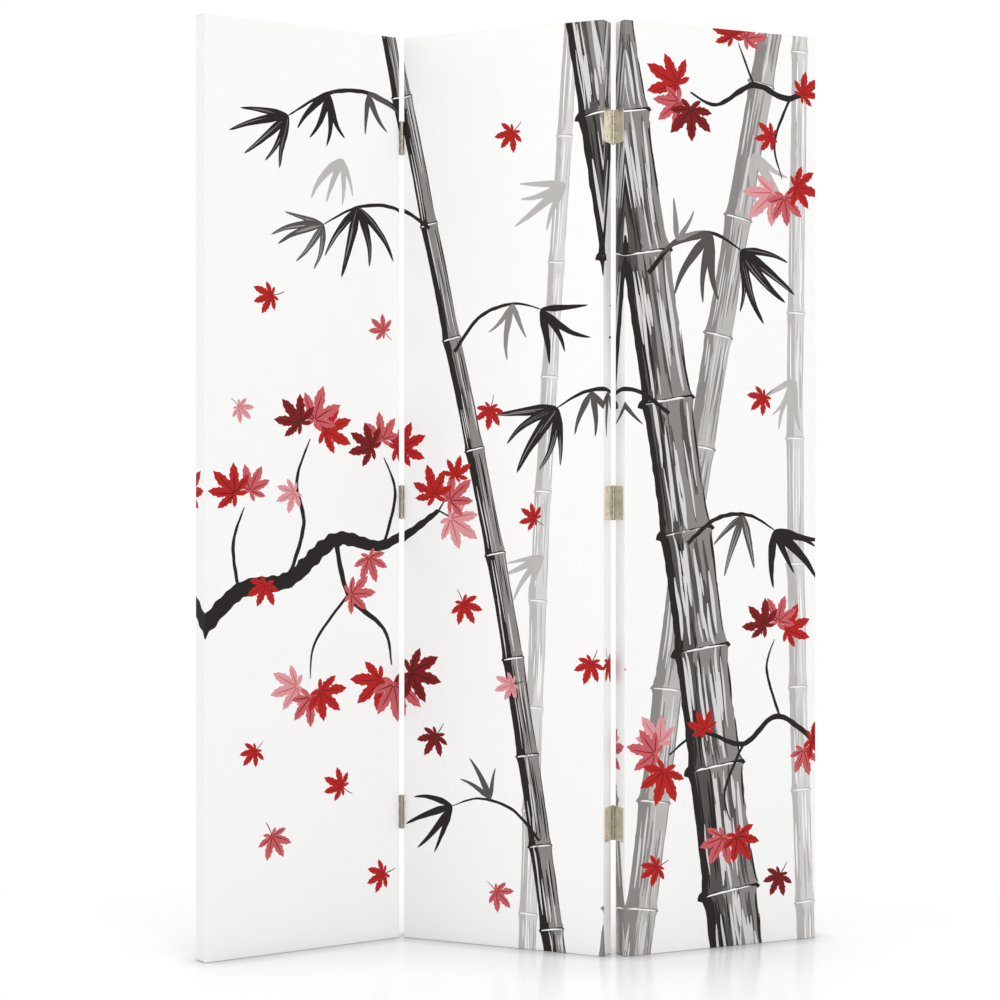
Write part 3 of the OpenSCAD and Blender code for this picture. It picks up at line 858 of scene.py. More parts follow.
def maple_twigs(brush):
    """Three dark branches with red leaves at their ends."""
    for width, points in (
        (26, [(-30, 500), (60, 585), (150, 602), (238, 665), (330, 655), (425, 712)]),
        (7, [(150, 602), (178, 690), (165, 760), (190, 830)]),
        (6, [(60, 585), (50, 660), (70, 720)]),
        (9, [(238, 665), (262, 575), (330, 515), (345, 455)]),
        (6, [(330, 655), (352, 740), (330, 800)]),
        (5, [(262, 575), (200, 500), (190, 440)]),
        (3, [(425, 712), (455, 760)]),
        (3, [(425, 712), (470, 690)]),
        (10, [(1110, 1440), (1030, 1395), (960, 1412), (890, 1375), (840, 1392)]),
        (5, [(1030, 1395), (1000, 1320), (1015, 1260)]),
        (4, [(960, 1412), (930, 1480)]),
        (9, [(1110, 300), (1010, 372), (940, 330), (860, 352), (800, 318)]),
        (5, [(1010, 372), (985, 450), (1000, 500)]),
        (5, [(940, 330), (905, 255), (915, 205)]),
    ):
        brush.twig(points, width)
    for place, size, tones, angle in (
        ((190, 835), 58, FIERY, 80), ((70, 725), 50, WARM, 100), ((165, 745), 40, TENDER[:1], 200),
        ((425, 712), 56, TENDER, 40), ((330, 805), 54, FIERY, 90), ((345, 450), 60, FIERY, -80),
        ((190, 435), 54, TENDER, -100), ((262, 575), 44, WARM[:1], 0), ((455, 765), 42, FIERY[:1], 70),
        ((110, 600), 46, FIERY[:1], -110), ((300, 640), 44, TENDER[1:2], -60),
        ((840, 1392), 58, FIERY, -140), ((1015, 1255), 56, TENDER, -80), ((930, 1470), 46, WARM, 90),
        ((1000, 1330), 40, FIERY[:1], 180), ((1050, 1400), 46, FIERY[:1], 30),
        ((800, 318), 56, TENDER, 180), ((1000, 505), 54, FIERY, 80), ((915, 200), 52, WARM, -90),
        ((870, 352), 44, FIERY[:1], 110), ((1050, 335), 48, WARM, -50),
    ):
        brush.maple(place, size, tones, angle)


def falling_leaves(brush):
    for x, y, angle, size, (tone, vein) in (
        (120, 1060, 200, 38, FIERY[0]), (330, 1010, 140, 34, WARM[0]), (520, 880, 260, 36, FIERY[0]),
        (470, 560, 300, 40, FIERY[0]), (560, 430, 200, 34, TENDER[0]), (420, 340, 240, 40, FIERY[2]),
        (250, 260, 150, 38, FIERY[0]), (120, 190, 300, 42, WARM[0]), (330, 110, 200, 38, FIERY[0]),
        (530, 90, 320, 36, TENDER[1]), (700, 470, 250, 38, FIERY[0]), (780, 140, 210, 36, FIERY[0]),
        (1010, 110, 240, 40, FIERY[2]), (560, 1330, 230, 36, FIERY[0]), (60, 880, 320, 30, TENDER[0]),
        (600, 700, 150, 32, WARM[1]), (980, 900, 220, 36, FIERY[0]), (90, 330, 230, 32, FIERY[0]),
    ):
        brush.maple_leaf((x, y), angle, size, tone, vein)


def design(seed):
    """All of the print's shapes, the lowest first."""
    brush = Brush(seed)
    for part in (far_bamboo, near_bamboo, maple_twigs, falling_leaves):
        part(brush)
    return brush.shapes


# The canvas

class Wrap:
    """How a panel's flat cloth lies round its frame.

    Flat coordinates are in millimetres from the cloth's middle, X across and Y up. Marks are the
    distances from that middle to where the front, the bend, the side, the next bend and the back end.
    """

    ARC_STEPS = 4
    TOUCH = 0.01  # how near to a mark a point still counts as on it
    PLEAT_INSET = 0.4
    PLEAT_LAYERS = ((1.0, -0.5), (1.0, 0.6), (0.985, 1.0))  # spread, and height in thicknesses of cloth

    def __init__(self, settings):
        self.radius = settings.radius / MM
        self.thick = settings.thickness / MM
        self.arc = math.pi * self.radius / 2
        self.fold = settings.fold / MM
        self.bleed = settings.bleed / MM
        self.high = PANEL_H - 2 * self.thick  # the folded corners lie over the ends
        self.x = self.marks(PANEL_W)
        self.y = self.marks(self.high)
        # The print is mirrored half way round the front's bends
        self.edges = np.array([marks[0] + self.arc / 2 for marks in (self.x, self.y)])

    def marks(self, size):
        front = size / 2 - self.radius
        side = PANEL_T - 2 * self.radius
        return np.cumsum([front, self.arc, side, self.arc, self.fold - self.radius])

    def profile(self, flat, marks):
        """For flat distances: where they lie across and in depth, and how far the cloth has turned.

        The place is a radius in from the outer face, where the bends have their middles.
        """
        far = np.abs(flat)
        bends = [np.clip((far - marks[k]) / self.radius, 0, math.pi / 2) for k in (0, 2)]
        across = np.sign(flat) * (np.minimum(far, marks[0]) - np.maximum(far - marks[3], 0))
        depth = self.radius + np.clip(far - marks[1], 0, marks[2] - marks[1])
        return across, depth, bends[0] + bends[1]

    def laid(self, flat, under=0.0):
        """Where flat points lie in the panel's frame, and which way they face. under is their depth."""
        u, v = np.asarray(flat, float).T
        x, x_depth, x_angle = self.profile(u, self.x)
        z, z_depth, z_angle = self.profile(v, self.y)
        over_end = np.abs(u) <= self.x[0] + self.TOUCH  # the strip that goes over the top and bottom
        depth = np.where(over_end, z_depth, x_depth)
        z = np.where(over_end, z, np.clip(v, -self.y[0], self.y[0]))
        tip = np.where(over_end, z_angle, np.minimum(z_angle, math.pi / 2))
        spin = np.where(over_end, 0.0, x_angle)
        normal = np.stack([np.cos(tip) * np.sin(spin) * np.sign(u), -np.cos(tip) * np.cos(spin),
                           np.sin(tip) * np.sign(v)], axis=1)
        place = np.stack([x, depth, z + PANEL_H / 2], axis=1) + (self.radius - under) * normal
        return place, normal

    def covers(self, flat):
        """Which flat points are cloth: a cross whose arms end in mitres on the back.

        The spare cloth of the corners is folded in, so it isn't part of the cross.
        """
        u, v = np.abs(flat).T
        (a, b, c, d, e), (f, g, h, i, j) = self.x, self.y
        ends = (u <= a) & (v <= j) & (u <= a - np.maximum(v - i, 0))
        sides = (v <= g) & (u <= d)
        flaps = (u > d) & (u <= e) & (v <= f - (u - d))
        return ends | sides | flaps

    def outline(self):
        """The edges of that cross, and the lines along which the cloth bends."""
        (a, b, c, d, e), (f, g, h, i, j) = self.x, self.y
        quarter = [(e, 0), (e, f - (e - d)), (d, f), (d, g), (a, g), (a, i), (a - (j - i), j), (0, j)]
        lines = [((p[0] * sx, p[1] * sy), (q[0] * sx, q[1] * sy))
                 for p, q in zip(quarter, quarter[1:]) for sx in (-1, 1) for sy in (-1, 1)]
        for k in range(self.ARC_STEPS + 1):
            bend = self.arc * k / self.ARC_STEPS
            for sign in (-1, 1):
                lines += [((sign * (m + bend), -g), (sign * (m + bend), g)) for m in (a, c)]
                lines += [((-n, sign * (m + bend)), (n, sign * (m + bend))) for m, n in ((f, d), (h, a))]
        return lines

    def pleats(self):
        """The spare cloth of each corner, folded over the panel's end, as closed wedges.

        Gives their points in the panel's frame, the ways that these face, where they lie on the flat
        cloth, and the faces.
        """
        edge, inset = PANEL_W / 2, self.PLEAT_INSET
        triangle = np.array([(edge - inset, self.radius + inset), (edge - inset, PANEL_T - inset),
                             (edge - PANEL_T + inset, PANEL_T - inset)])
        middle = triangle.mean(0)
        points, ways, flat, faces = [], [], [], []
        for side, end in ((-1, -1), (-1, 1), (1, -1), (1, 1)):
            shape = Shape()
            rings = []
            for k, (grow, rise) in enumerate(self.PLEAT_LAYERS):
                out = self.high / 2 + rise * self.thick
                rings.append(shape.ring((side * x, y, PANEL_H / 2 + end * out)
                                        for x, y in middle + (triangle - middle) * grow))
                spread = middle + (triangle - middle) * (1.1 - 0.1 * k)
                flat += [(side * (self.x[0] + 1 + edge - x), end * (self.y[1] + 1 + y)) for x, y in spread]
                ways += [(0, 0, end)] * 3
            shape.cap(rings[0][::-1])
            shape.cap(rings[-1])
            shape.skins(rings)
            turned = 1 if side * end > 0 else -1
            faces += [[len(points) + k for k in face[::turned]] for face in shape.faces]
            points += shape.points
        return np.array(points), np.array(ways), np.array(flat), faces

    def mirrored(self, flat):
        """The point of the front whose print a flat point carries. The front's edges mirror the print."""
        far = np.abs(flat)
        return np.sign(flat) * np.where(far > self.edges, 2 * self.edges - far, far)

    def printed(self, flat):
        """Which flat points the print reaches."""
        return (np.abs(flat) < self.edges + PANEL_T + self.bleed).all(1)

    def print_areas(self):
        """The areas that carry the print: (low x, low y, high x, high y, flip x, flip y).

        The flips say at which of the front's edges the print is mirrored there.
        """
        x, y = self.edges
        more = PANEL_T + self.bleed
        end = self.x[0]
        return [(-x, -y, x, y, 0, 0), (x, -y, x + more, y, 1, 0), (-x - more, -y, -x, y, -1, 0),
                (-end, y, end, y + more, 0, 1), (-end, -y - more, end, -y, 0, -1)]


def clipped(a, b, area):
    """The part of the way from a to b that lies in an area, or None."""
    still = 1e-12  # a slower way runs along the area's side
    start, stop = 0.0, 1.0
    for k in (0, 1):
        step = b[k] - a[k]
        for side, sign in ((area[k], -1), (area[k + 2], 1)):
            room = sign * (side - a[k])
            speed = sign * step
            if abs(speed) < still:
                if room < 0:
                    return None
            elif speed > 0:
                stop = min(stop, room / speed)
            else:
                start = max(start, room / speed)
    if start >= stop:
        return None
    return tuple((a[0] + (b[0] - a[0]) * t, a[1] + (b[1] - a[1]) * t) for t in (start, stop))


class Lines:
    """Line pieces for a triangulation, with equal points kept once."""

    DIGITS = 3
    NEAR = 1e-3  # how near two points of the triangulation are made one
    LEAST_AREA = 1e-7  # twice the area of the smallest triangle that is kept

    def __init__(self):
        self.points = {}
        self.edges = []

    def add(self, a, b):
        ends = []
        for place in (a, b):
            key = tuple(round(c, self.DIGITS) for c in place)
            ends.append(self.points.setdefault(key, len(self.points)))
        if ends[0] != ends[1]:
            self.edges.append(tuple(ends))

    def triangles(self, keep):
        """Points and triangles of the plane that these lines cut up. keep() picks from their middles."""
        flat = [Vector(p) for p in self.points]
        points, _, faces, *_ = delaunay_2d_cdt(flat, self.edges, [], 0, self.NEAR)
        points = np.array([tuple(p) for p in points])
        faces = np.array([f for f in faces if len(f) == 3])
        sides = points[faces]
        (ax, ay), (bx, by) = (sides[:, 1] - sides[:, 0]).T, (sides[:, 2] - sides[:, 0]).T
        area = ax * by - ay * bx
        faces[area < 0] = faces[area < 0][:, ::-1]
        return points, faces[(np.abs(area) > self.LEAST_AREA) & keep(sides.mean(1))]


def cloth_lines(wrap, shapes, shift):
    """A panel's flat lines: the cloth's outline and bends, and the outlines of the print on it."""
    lines = Lines()
    for a, b in wrap.outline():
        lines.add(a, b)
    for _, outline in shapes:
        flat = outline - shift
        if (flat.min(0) > wrap.edges).any() or (flat.max(0) < -wrap.edges).any():
            continue
        for *area, flip_x, flip_y in wrap.print_areas():
            copy = flat.copy()
            for k, flip in ((0, flip_x), (1, flip_y)):
                if flip:
                    copy[:, k] = flip * 2 * wrap.edges[k] - copy[:, k]
            if (copy.min(0) > area[2:]).any() or (copy.max(0) < area[:2]).any():
                continue
            for a, b in zip(copy, np.roll(copy, -1, axis=0)):
                if part := clipped(a, b, area):
                    lines.add(*part)
    return lines


def tones_at(middles, wrap, shapes, shift):
    """The tone of the print at flat points, or -1 for bare cloth."""
    source = wrap.mirrored(middles)
    order = np.argsort(source[:, 0])
    source = source[order]
    tone = np.full(len(middles), -1)
    for value, outline in shapes:
        flat = outline - shift
        first, last = np.searchsorted(source[:, 0], [flat[:, 0].min(), flat[:, 0].max()])
        near = np.arange(first, last)
        near = near[(source[near, 1] >= flat[:, 1].min()) & (source[near, 1] <= flat[:, 1].max())]
        if len(near):
            tone[near[within(source[near], flat)]] = value
    found = np.empty(len(middles), int)
    found[order] = tone
    found[~wrap.printed(middles)] = -1
    return found


def rim_of(faces):
    """The edges that only one triangle has, each in that triangle's direction."""
    edges = {(int(a), int(b)) for f in faces for a, b in zip(f, np.roll(f, -1))}
    return [(a, b) for a, b in edges if (b, a) not in edges]


def canvas(panel, index, wrap, shapes, materials):
    """One panel's cloth, printed flat and then laid round the frame, as a closed skin.

    Its first material is the primed white, its second the raw inside, and the rest are the print's.
    """
    white, raw, first_ink = 0, 1, 2
    shift = np.array([index * PANEL_W + PANEL_W / 2, PANEL_H / 2])
    flat, faces = cloth_lines(wrap, shapes, shift).triangles(wrap.covers)
    tones = tones_at(flat[faces].mean(1), wrap, shapes, shift)
    outer, normal = wrap.laid(flat)
    inner, _ = wrap.laid(flat, under=wrap.thick)
    count = len(flat)
    rim = [(b, a, a + count, b + count) for a, b in rim_of(faces)]
    corners, ways, corner_flat, corner_faces = wrap.pleats()
    every = [*faces.tolist(), *(faces[:, ::-1] + count).tolist(), *rim]
    every += [[k + 2 * count for k in face] for face in corner_faces]
    slots = np.concatenate([np.where(tones < 0, white, tones + first_ink), np.full(len(faces), raw),
                            np.full(len(rim) + len(corner_faces), white)])
    points = placed(np.concatenate([outer, inner, corners]), panel_matrix(panel))
    piece = new_piece(f"{panel}_canvas", points, every, materials, slots)
    turn = np.array(Matrix.Rotation(math.radians(TURNS[panel]), 3, "Z"))
    normals = np.concatenate([normal, -normal, ways]) @ turn.T
    piece.data.shade_smooth()
    piece.data.normals_split_custom_set_from_vertices(normals.tolist())
    lay_out(piece.data, np.concatenate([flat, flat, corner_flat]), count)
    return piece


def lay_out(mesh, flat, count):
    """Lays out a canvas in two maps.

    cloth is the flat cloth in metres, for the weave. OFBake fills a square, with the outside on its
    left and the inside, which starts after count points, on its right.
    """
    outside, inside = 0.62, 0.36  # how much of the square's width each takes
    corner = np.empty(len(mesh.loops), np.int32)
    mesh.loops.foreach_get("vertex_index", corner)
    cloth = mesh.uv_layers.new(name="cloth")
    cloth.data.foreach_set("uv", (flat[corner] * MM).astype(np.float32).ravel())
    low, high = flat.min(0), flat.max(0)
    share = (flat - low) / (high - low)
    raw = np.arange(len(flat)) // count == 1
    share[:, 0] = np.where(raw, 1 - inside + share[:, 0] * inside, share[:, 0] * outside)
    square = mesh.uv_layers.new(name="OFBake")
    square.data.foreach_set("uv", share[corner].astype(np.float32).ravel())
    mesh.uv_layers.active = cloth
    cloth.active_render = True


class SCREEN_OT_canvases(bpy.types.Operator):
    """Stretches a printed canvas over each panel's frame"""

    bl_idname = "folding_screen.canvases"
    bl_label = "Canvases"

    def execute(self, context):
        settings, ink = context.scene.screen_canvas, context.scene.screen_ink
        wrap = Wrap(settings)
        shapes = design(ink.seed)
        pitch = settings.pitch
        materials = [cloth_material("primed_canvas", settings.white, pitch, WEAVE_DEPTH),
                     cloth_material("raw_canvas", settings.raw, pitch, RAW_WEAVE_DEPTH)]
        for name in TONE_NAMES:
            shows = 0.0 if name == "paper" else INK_SHOWS
            tint = getattr(ink, name)
            materials.append(cloth_material(f"print_{name}", tint, pitch, WEAVE_DEPTH, shows))
        for index, panel in enumerate(PANELS):
            piece = canvas(panel, index, wrap, shapes, materials)
            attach(piece, f"{panel}_panel")
            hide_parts(f"{panel}_panel_canvas")
        return {"FINISHED"}


class SCREEN_OT_frames(bpy.types.Operator):
    """Gives the stretcher frames and their corner wedges the look of pine and beech"""

    bl_idname = "folding_screen.frames"
    bl_label = "Frames"

    def execute(self, context):
        look = context.scene.screen_frame
        pine = (look.pine, look.pine_ring, look.knot, look.ring, 1.0)
        beech = (look.beech, look.beech_ring, look.knot, look.ring / 4, 0.0)
        for panel in PANELS:
            for bar, along in BARS.items():
                node = f"{panel}_panel_{bar}"
                dress(node, wood_material(f"pine_{panel}_{bar}", TURNS[panel], along, *pine, node))
            wedge = wood_material(f"beech_{panel}", TURNS[panel], "X", *beech, panel)
            dress(f"{panel}_panel_corner_wedges", wedge)
        return {"FINISHED"}


def dress(node, material):
    """Gives every face of a CAD node one material."""
    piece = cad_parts[node]
    for slot in piece.material_slots:
        slot.material = material
    if not piece.material_slots:
        piece.data.materials.append(material)


# Hinges

def hinge_matrix(panel, side, behind, foot):
    """From a hinge's own frame, in millimetres, to the row's.

    Z is the pin, X goes towards the panel and Y along its side. foot is the hinge's lower end.
    """
    x = side * (PANEL_W / 2 + AXIS_SIDE)
    y = PANEL_T + AXIS_OUT if behind else -AXIS_OUT
    local = Matrix(((-side, 0, 0, x), (0, -1 if behind else 1, 0, y), (0, 0, 1, foot), (0, 0, 0, 1)))
    return panel_matrix(panel) @ local


def all_leaves():
    """For each leaf: its hinge, its name there, its panel, its frame and its height."""
    for row in HINGE_ROWS:
        for joint, pair in LEAVES.items():
            low, high = [corner.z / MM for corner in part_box(f"{row}_{joint}_hinge_middle_leaf")]
            for leaf, panel, side, behind in pair:
                yield f"{row}_{joint}", leaf, panel, hinge_matrix(panel, side, behind, low), high - low


def screw_spots(tall):
    """Where a leaf's three screws go, along its width and its height."""
    middle = AXIS_OUT + (PANEL_T - LEAF_MARGIN) / 2
    return [(middle + (-SCREW_STEP if k == 0 else SCREW_STEP), tall / 2 + k * SCREW_PITCH)
            for k in (-1, 0, 1)]


def knuckle_runs(tall, fixed):
    """The lowest and highest points of a leaf's own knuckles. The fixed leaf has the outer ones."""
    step = tall / KNUCKLES
    runs = []
    for k in range(0 if fixed else 1, KNUCKLES, 2):
        low = k * step + (KNUCKLE_GAP / 2 if k else 0)
        high = (k + 1) * step - (KNUCKLE_GAP / 2 if k < KNUCKLES - 1 else 0)
        runs.append((low, high))
    return runs


def leaf_outline(tall, runs, corner, inset):
    """A leaf flat, from its knuckles at Y 0 outwards, moved in by inset all round."""
    reach = AXIS_OUT + PANEL_T - LEAF_MARGIN - inset
    root = BARREL_R + LEAF_GAP + inset
    bend = max(corner - inset, LEAST_CORNER)
    side, foot, top = reach - bend, inset + bend, tall - inset - bend
    steps = [math.pi / 2 * k / LEAF_CORNER_STEPS for k in range(LEAF_CORNER_STEPS + 1)]
    outline = [(side + bend * math.sin(t), foot - bend * math.cos(t)) for t in steps]
    outline += [(side + bend * math.cos(t), top + bend * math.sin(t)) for t in steps]
    if runs[-1][1] < tall - TOLERANCE:
        outline.append((root, tall - inset))
    for low, high in runs[::-1]:
        low, high = low + inset, high - inset
        if high < tall - inset - TOLERANCE:
            outline.append((root, high))
        outline += [(LEAF_TIP, high), (LEAF_TIP, low)]
        if low > inset + TOLERANCE:
            outline.append((root, low))
    if runs[0][0] > TOLERANCE:
        outline.append((root, inset))
    return outline


def hinge_leaf(name, matrix, tall, fixed, look, materials):
    """A leaf with eased edges, countersunk holes and its own knuckles."""
    shape = Shape()
    runs = knuckle_runs(tall, fixed)
    chamfer, corner = look.chamfer / MM, look.corner / MM
    face, back = AXIS_SIDE - LEAF_T, AXIS_SIDE
    rings = [shape.ring((x, y, z) for y, z in leaf_outline(tall, runs, corner, inset))
             for x, inset in ((face, chamfer), (face + chamfer, 0), (back, 0))]
    shape.skins(rings)
    mouth, hole = SCREW_HEAD_R + SCREW_EASE, SCREW_R + SCREW_EASE
    sink = SCREW_HEAD_R - SCREW_R
    bores = [[shape.ring((x, y, z) for y, z in circle(spot, radius, HOLE_STEPS))
              for x, radius in ((face, mouth), (face + sink, hole), (back, hole))]
             for spot in screw_spots(tall)]
    for bore in bores:
        shape.skins(bore, flip=True)
    for k in (0, -1):
        shape.flat([rings[k], *[bore[k] for bore in bores]], lambda p: p[1:])
    plate = len(shape.faces)
    inner, eased = PIN_R + PIN_EASE, BARREL_R - chamfer
    for low, high in runs:
        shape.turning([(inner, low), (eased, low), (BARREL_R, low + chamfer),
                       (BARREL_R, high - chamfer), (eased, high), (inner, high), (inner, low)])
    tones = [0] * plate + [1] * (len(shape.faces) - plate)
    return closed_piece(name, placed(shape.points, matrix), shape.faces, HARDWARE_SHARP, materials, tones)


def hinge_pin(name, matrix, tall, materials):
    """A pin with low domed heads."""
    rise = [math.pi / 2 * k / PIN_DOME_STEPS for k in range(PIN_DOME_STEPS + 1)]
    foot = [(PIN_HEAD_R * math.sin(t), -PIN_DOME * math.cos(t)) for t in rise]
    top = [(PIN_HEAD_R * math.cos(t), tall + PIN_DOME * math.sin(t)) for t in rise]
    shape = Shape()
    shape.turning([*foot[:-1], (PIN_HEAD_R, 0), (PIN_R, 0), (PIN_R, tall), (PIN_HEAD_R, tall),
                   *top[1:-1], (0, tall + PIN_DOME)])
    return closed_piece(name, placed(shape.points, matrix), shape.faces, HARDWARE_SHARP, materials)


class SCREEN_OT_hinges(bpy.types.Operator):
    """Builds the leaves and pins of the six butt hinges"""

    bl_idname = "folding_screen.hinges"
    bl_label = "Hinges"

    def execute(self, context):
        look = context.scene.screen_hinge
        brass = metal_material("hinge_brass", look.brass, look.brass_dark)
        # The barrels and pins get a darker brass than the leaves, as painted shade for the hinge's dark
        # middle
        dull = [c * BARREL_DULL for c in look.barrel[:3]] + [1]
        barrel = metal_material("barrel_brass", look.barrel, dull)
        for hinge, leaf, panel, matrix, tall in all_leaves():
            fixed = leaf == "middle"
            piece = hinge_leaf(f"{hinge}_{leaf}_leaf", matrix, tall, fixed, look, [brass, barrel])
            keep_place(piece, f"{panel}_panel", "hinge_brass", f"{hinge}_hinge_{leaf}_leaf")
            if fixed:
                piece = hinge_pin(f"{hinge}_pin", matrix, tall, [barrel])
                keep_place(piece, "middle_panel", "hinge_brass", f"{hinge}_hinge_pin")
        return {"FINISHED"}


def keep_place(piece, body, slot, *nodes):
    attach(piece, body)
    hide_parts(*nodes)


# Screws and staples

def scatter_tree():
    """Puts copies of one shape on points that each carry the way they face, each turned at random."""
    tree = bpy.data.node_groups.new("Scatter fasteners", "GeometryNodeTree")
    for label, kind in (("Geometry", "Geometry"), ("Fastener", "Object"), ("Turn", "Float"),
                        ("Seed", "Int"), ("Material", "Material")):
        tree.interface.new_socket(name=label, in_out="INPUT", socket_type=f"NodeSocket{kind}")
    tree.interface.new_socket(name="Geometry", in_out="OUTPUT", socket_type="NodeSocketGeometry")
    given = tree.nodes.new("NodeGroupInput").outputs
    fastener = put(tree, "GeometryNodeObjectInfo", (("Object", given["Fastener"]),),
                   transform_space="ORIGINAL")
    way = put(tree, "GeometryNodeInputNamedAttribute", (("Name", "facing"),), data_type="FLOAT_VECTOR")
    turned = put(tree, "FunctionNodeEulerToRotation", ((0, way.outputs["Attribute"]),))
    copies = put(tree, "GeometryNodeInstanceOnPoints", (
        ("Points", given["Geometry"]), ("Instance", fastener.outputs["Geometry"]),
        ("Rotation", turned.outputs[0])))
    less = maths(tree, "MULTIPLY", given["Turn"], -1.0)
    chance = put(tree, "FunctionNodeRandomValue", data_type="FLOAT")
    for name, value in (("Min_001", less), ("Max_001", given["Turn"]), ("Seed", given["Seed"])):
        plug(tree, by_identifier(chance.inputs, name), value)
    angle = put(tree, "ShaderNodeCombineXYZ", (("Z", by_identifier(chance.outputs, "Value_001")),))
    spun = put(tree, "GeometryNodeRotateInstances", (
        ("Instances", copies.outputs[0]), ("Rotation", angle.outputs[0]), ("Local Space", True)))
    real = put(tree, "GeometryNodeRealizeInstances", ((0, spun.outputs[0]),))
    worn = put(tree, "GeometryNodeSetMaterial", (
        ("Geometry", real.outputs[0]), ("Material", given["Material"])))
    put(tree, "NodeGroupOutput", ((0, worn.outputs[0]),))
    return tree


def scattered(name, places, fastener, tree, turn, seed, material):
    """A plain mesh of copies of a fastener. places are (point, matrix) pairs in the row's frame."""
    seeds = new_piece(f"{name}_points", [p for p, _ in places], [])
    ways = seeds.data.attributes.new("facing", "FLOAT_VECTOR", "POINT")
    ways.data.foreach_set("vector", [c for _, m in places for c in m.to_euler()])
    modifier = seeds.modifiers.new("Scatter", "NODES")
    modifier.node_group = tree
    values = {"Fastener": fastener, "Turn": turn, "Seed": seed, "Material": material}
    for item in tree.interface.items_tree:
        if item.in_out == "INPUT" and item.name in values:
            modifier[item.identifier] = values[item.name]
    seeds.update_tag()
    bpy.context.view_layer.update()
    made = seeds.evaluated_get(bpy.context.evaluated_depsgraph_get())
    mesh = bpy.data.meshes.new_from_object(made)
    seeds.modifiers.remove(modifier)
    bpy.data.objects.remove(seeds)
    mesh.name = name
    piece = bpy.data.objects.new(name, mesh)
    bpy.context.scene.collection.objects.link(piece)
    return piece


def cross(span, width):
    """A cross of two bars, as one outline."""
    a, b = span / 2, width / 2
    quarter = [(a, -b), (a, b), (b, b)]
    turns = ((1, 0), (0, 1), (-1, 0), (0, -1))
    return [(c * x - s * y, s * x + c * y) for c, s in turns for x, y in quarter]


def screw_template():
    """A countersunk screw that points down, with its head's face at Z 0."""
    span, width, deep = RECESS
    sink = SCREW_HEAD_R - SCREW_R
    shape = Shape()
    level = lambda flat, z: shape.ring((x, y, z) for x, y in flat)
    head = level(circle((0, 0), SCREW_HEAD_R, ROUND_STEPS), 0)
    mouth = level(cross(span, width), 0)
    foot = level(cross(span * RECESS_FOOT[0], width * RECESS_FOOT[1]), -deep)
    shape.flat([head, mouth], lambda p: p[:2])
    shape.skin(mouth, foot)
    shape.cap(foot)
    rings = [head, *[level(circle((0, 0), radius, ROUND_STEPS), z) for radius, z in (
        (SCREW_R, -sink), (SCREW_R, SCREW_POINT - SCREW_L), (SCREW_TIP, SCREW_TIP - SCREW_L))]]
    shape.skins(rings, flip=True)
    shape.cap(rings[-1])
    return template("screw_template", shape)


def staple_template():
    """A staple with its crown along X on the ground and its legs pointing down."""
    wide, thick, bend = STAPLE_WIDE, STAPLE_THICK, STAPLE_BEND
    side = -STAPLE_CROWN / 2 + thick / 2
    turns = [math.pi / 2 * k / STAPLE_BEND_STEPS for k in range(STAPLE_BEND_STEPS + 1)]
    # The wire's middle line: each point, and how far the wire runs up and across there
    line = [(side, -STAPLE_LEG, 1, 0)]
    line += [(side + bend - bend * math.cos(t), thick / 2 - bend + bend * math.sin(t),
              math.cos(t), math.sin(t)) for t in turns]
    line += [(-x, z, -up, across) for x, z, up, across in line[::-1]]
    shape = Shape()
    rings = []
    for k, (x, z, up, across) in enumerate(line):
        thin = STAPLE_POINT if k in (0, len(line) - 1) else 1.0
        rings.append(shape.ring((x - up * n * thick * thin, w * wide, z + across * n * thick * thin)
                                for n, w in STAPLE_SECTION))
    shape.skins(rings)
    shape.cap(rings[0])
    shape.cap(rings[-1])
    return template("staple_template", shape)


def template(name, shape):
    return closed_piece(name, np.array(shape.points) * MM, shape.faces, FASTENER_SHARP)


def facing(x, z):
    """A rotation whose local X and Z point along the given ways."""
    x, z = Vector(x).normalized(), Vector(z).normalized()
    return Matrix((x, z.cross(x), z)).transposed()


def staple_places(panel):
    """Where each staple's crown meets the canvas on the back, with its rotation."""
    matrix = panel_matrix(panel)
    across, back, _ = [v.normalized() for v in matrix.to_3x3().transposed()]
    places = []
    for solid in solids_of(f"{panel}_panel_staples"):
        local = placed(solid, matrix.inverted())
        low, high = local.min(0), local.max(0)
        upright = high[2] - low[2] > high[0] - low[0]
        middle = (low + high) / 2
        point = matrix @ Vector((middle[0], PANEL_T, middle[2]))
        places.append((point, facing((0, 0, 1) if upright else across, back)))
    return places


def screw_places(panel):
    """Where each screw's head lies flush in a leaf that the panel carries, with its rotation."""
    places = []
    for _, _, own, matrix, tall in all_leaves():
        if own == panel:
            way = facing((0, 0, 1), matrix.to_3x3() @ Vector((-1, 0, 0)))
            places += [(matrix @ Vector((AXIS_SIDE - LEAF_T, y, z)), way) for y, z in screw_spots(tall)]
    return places


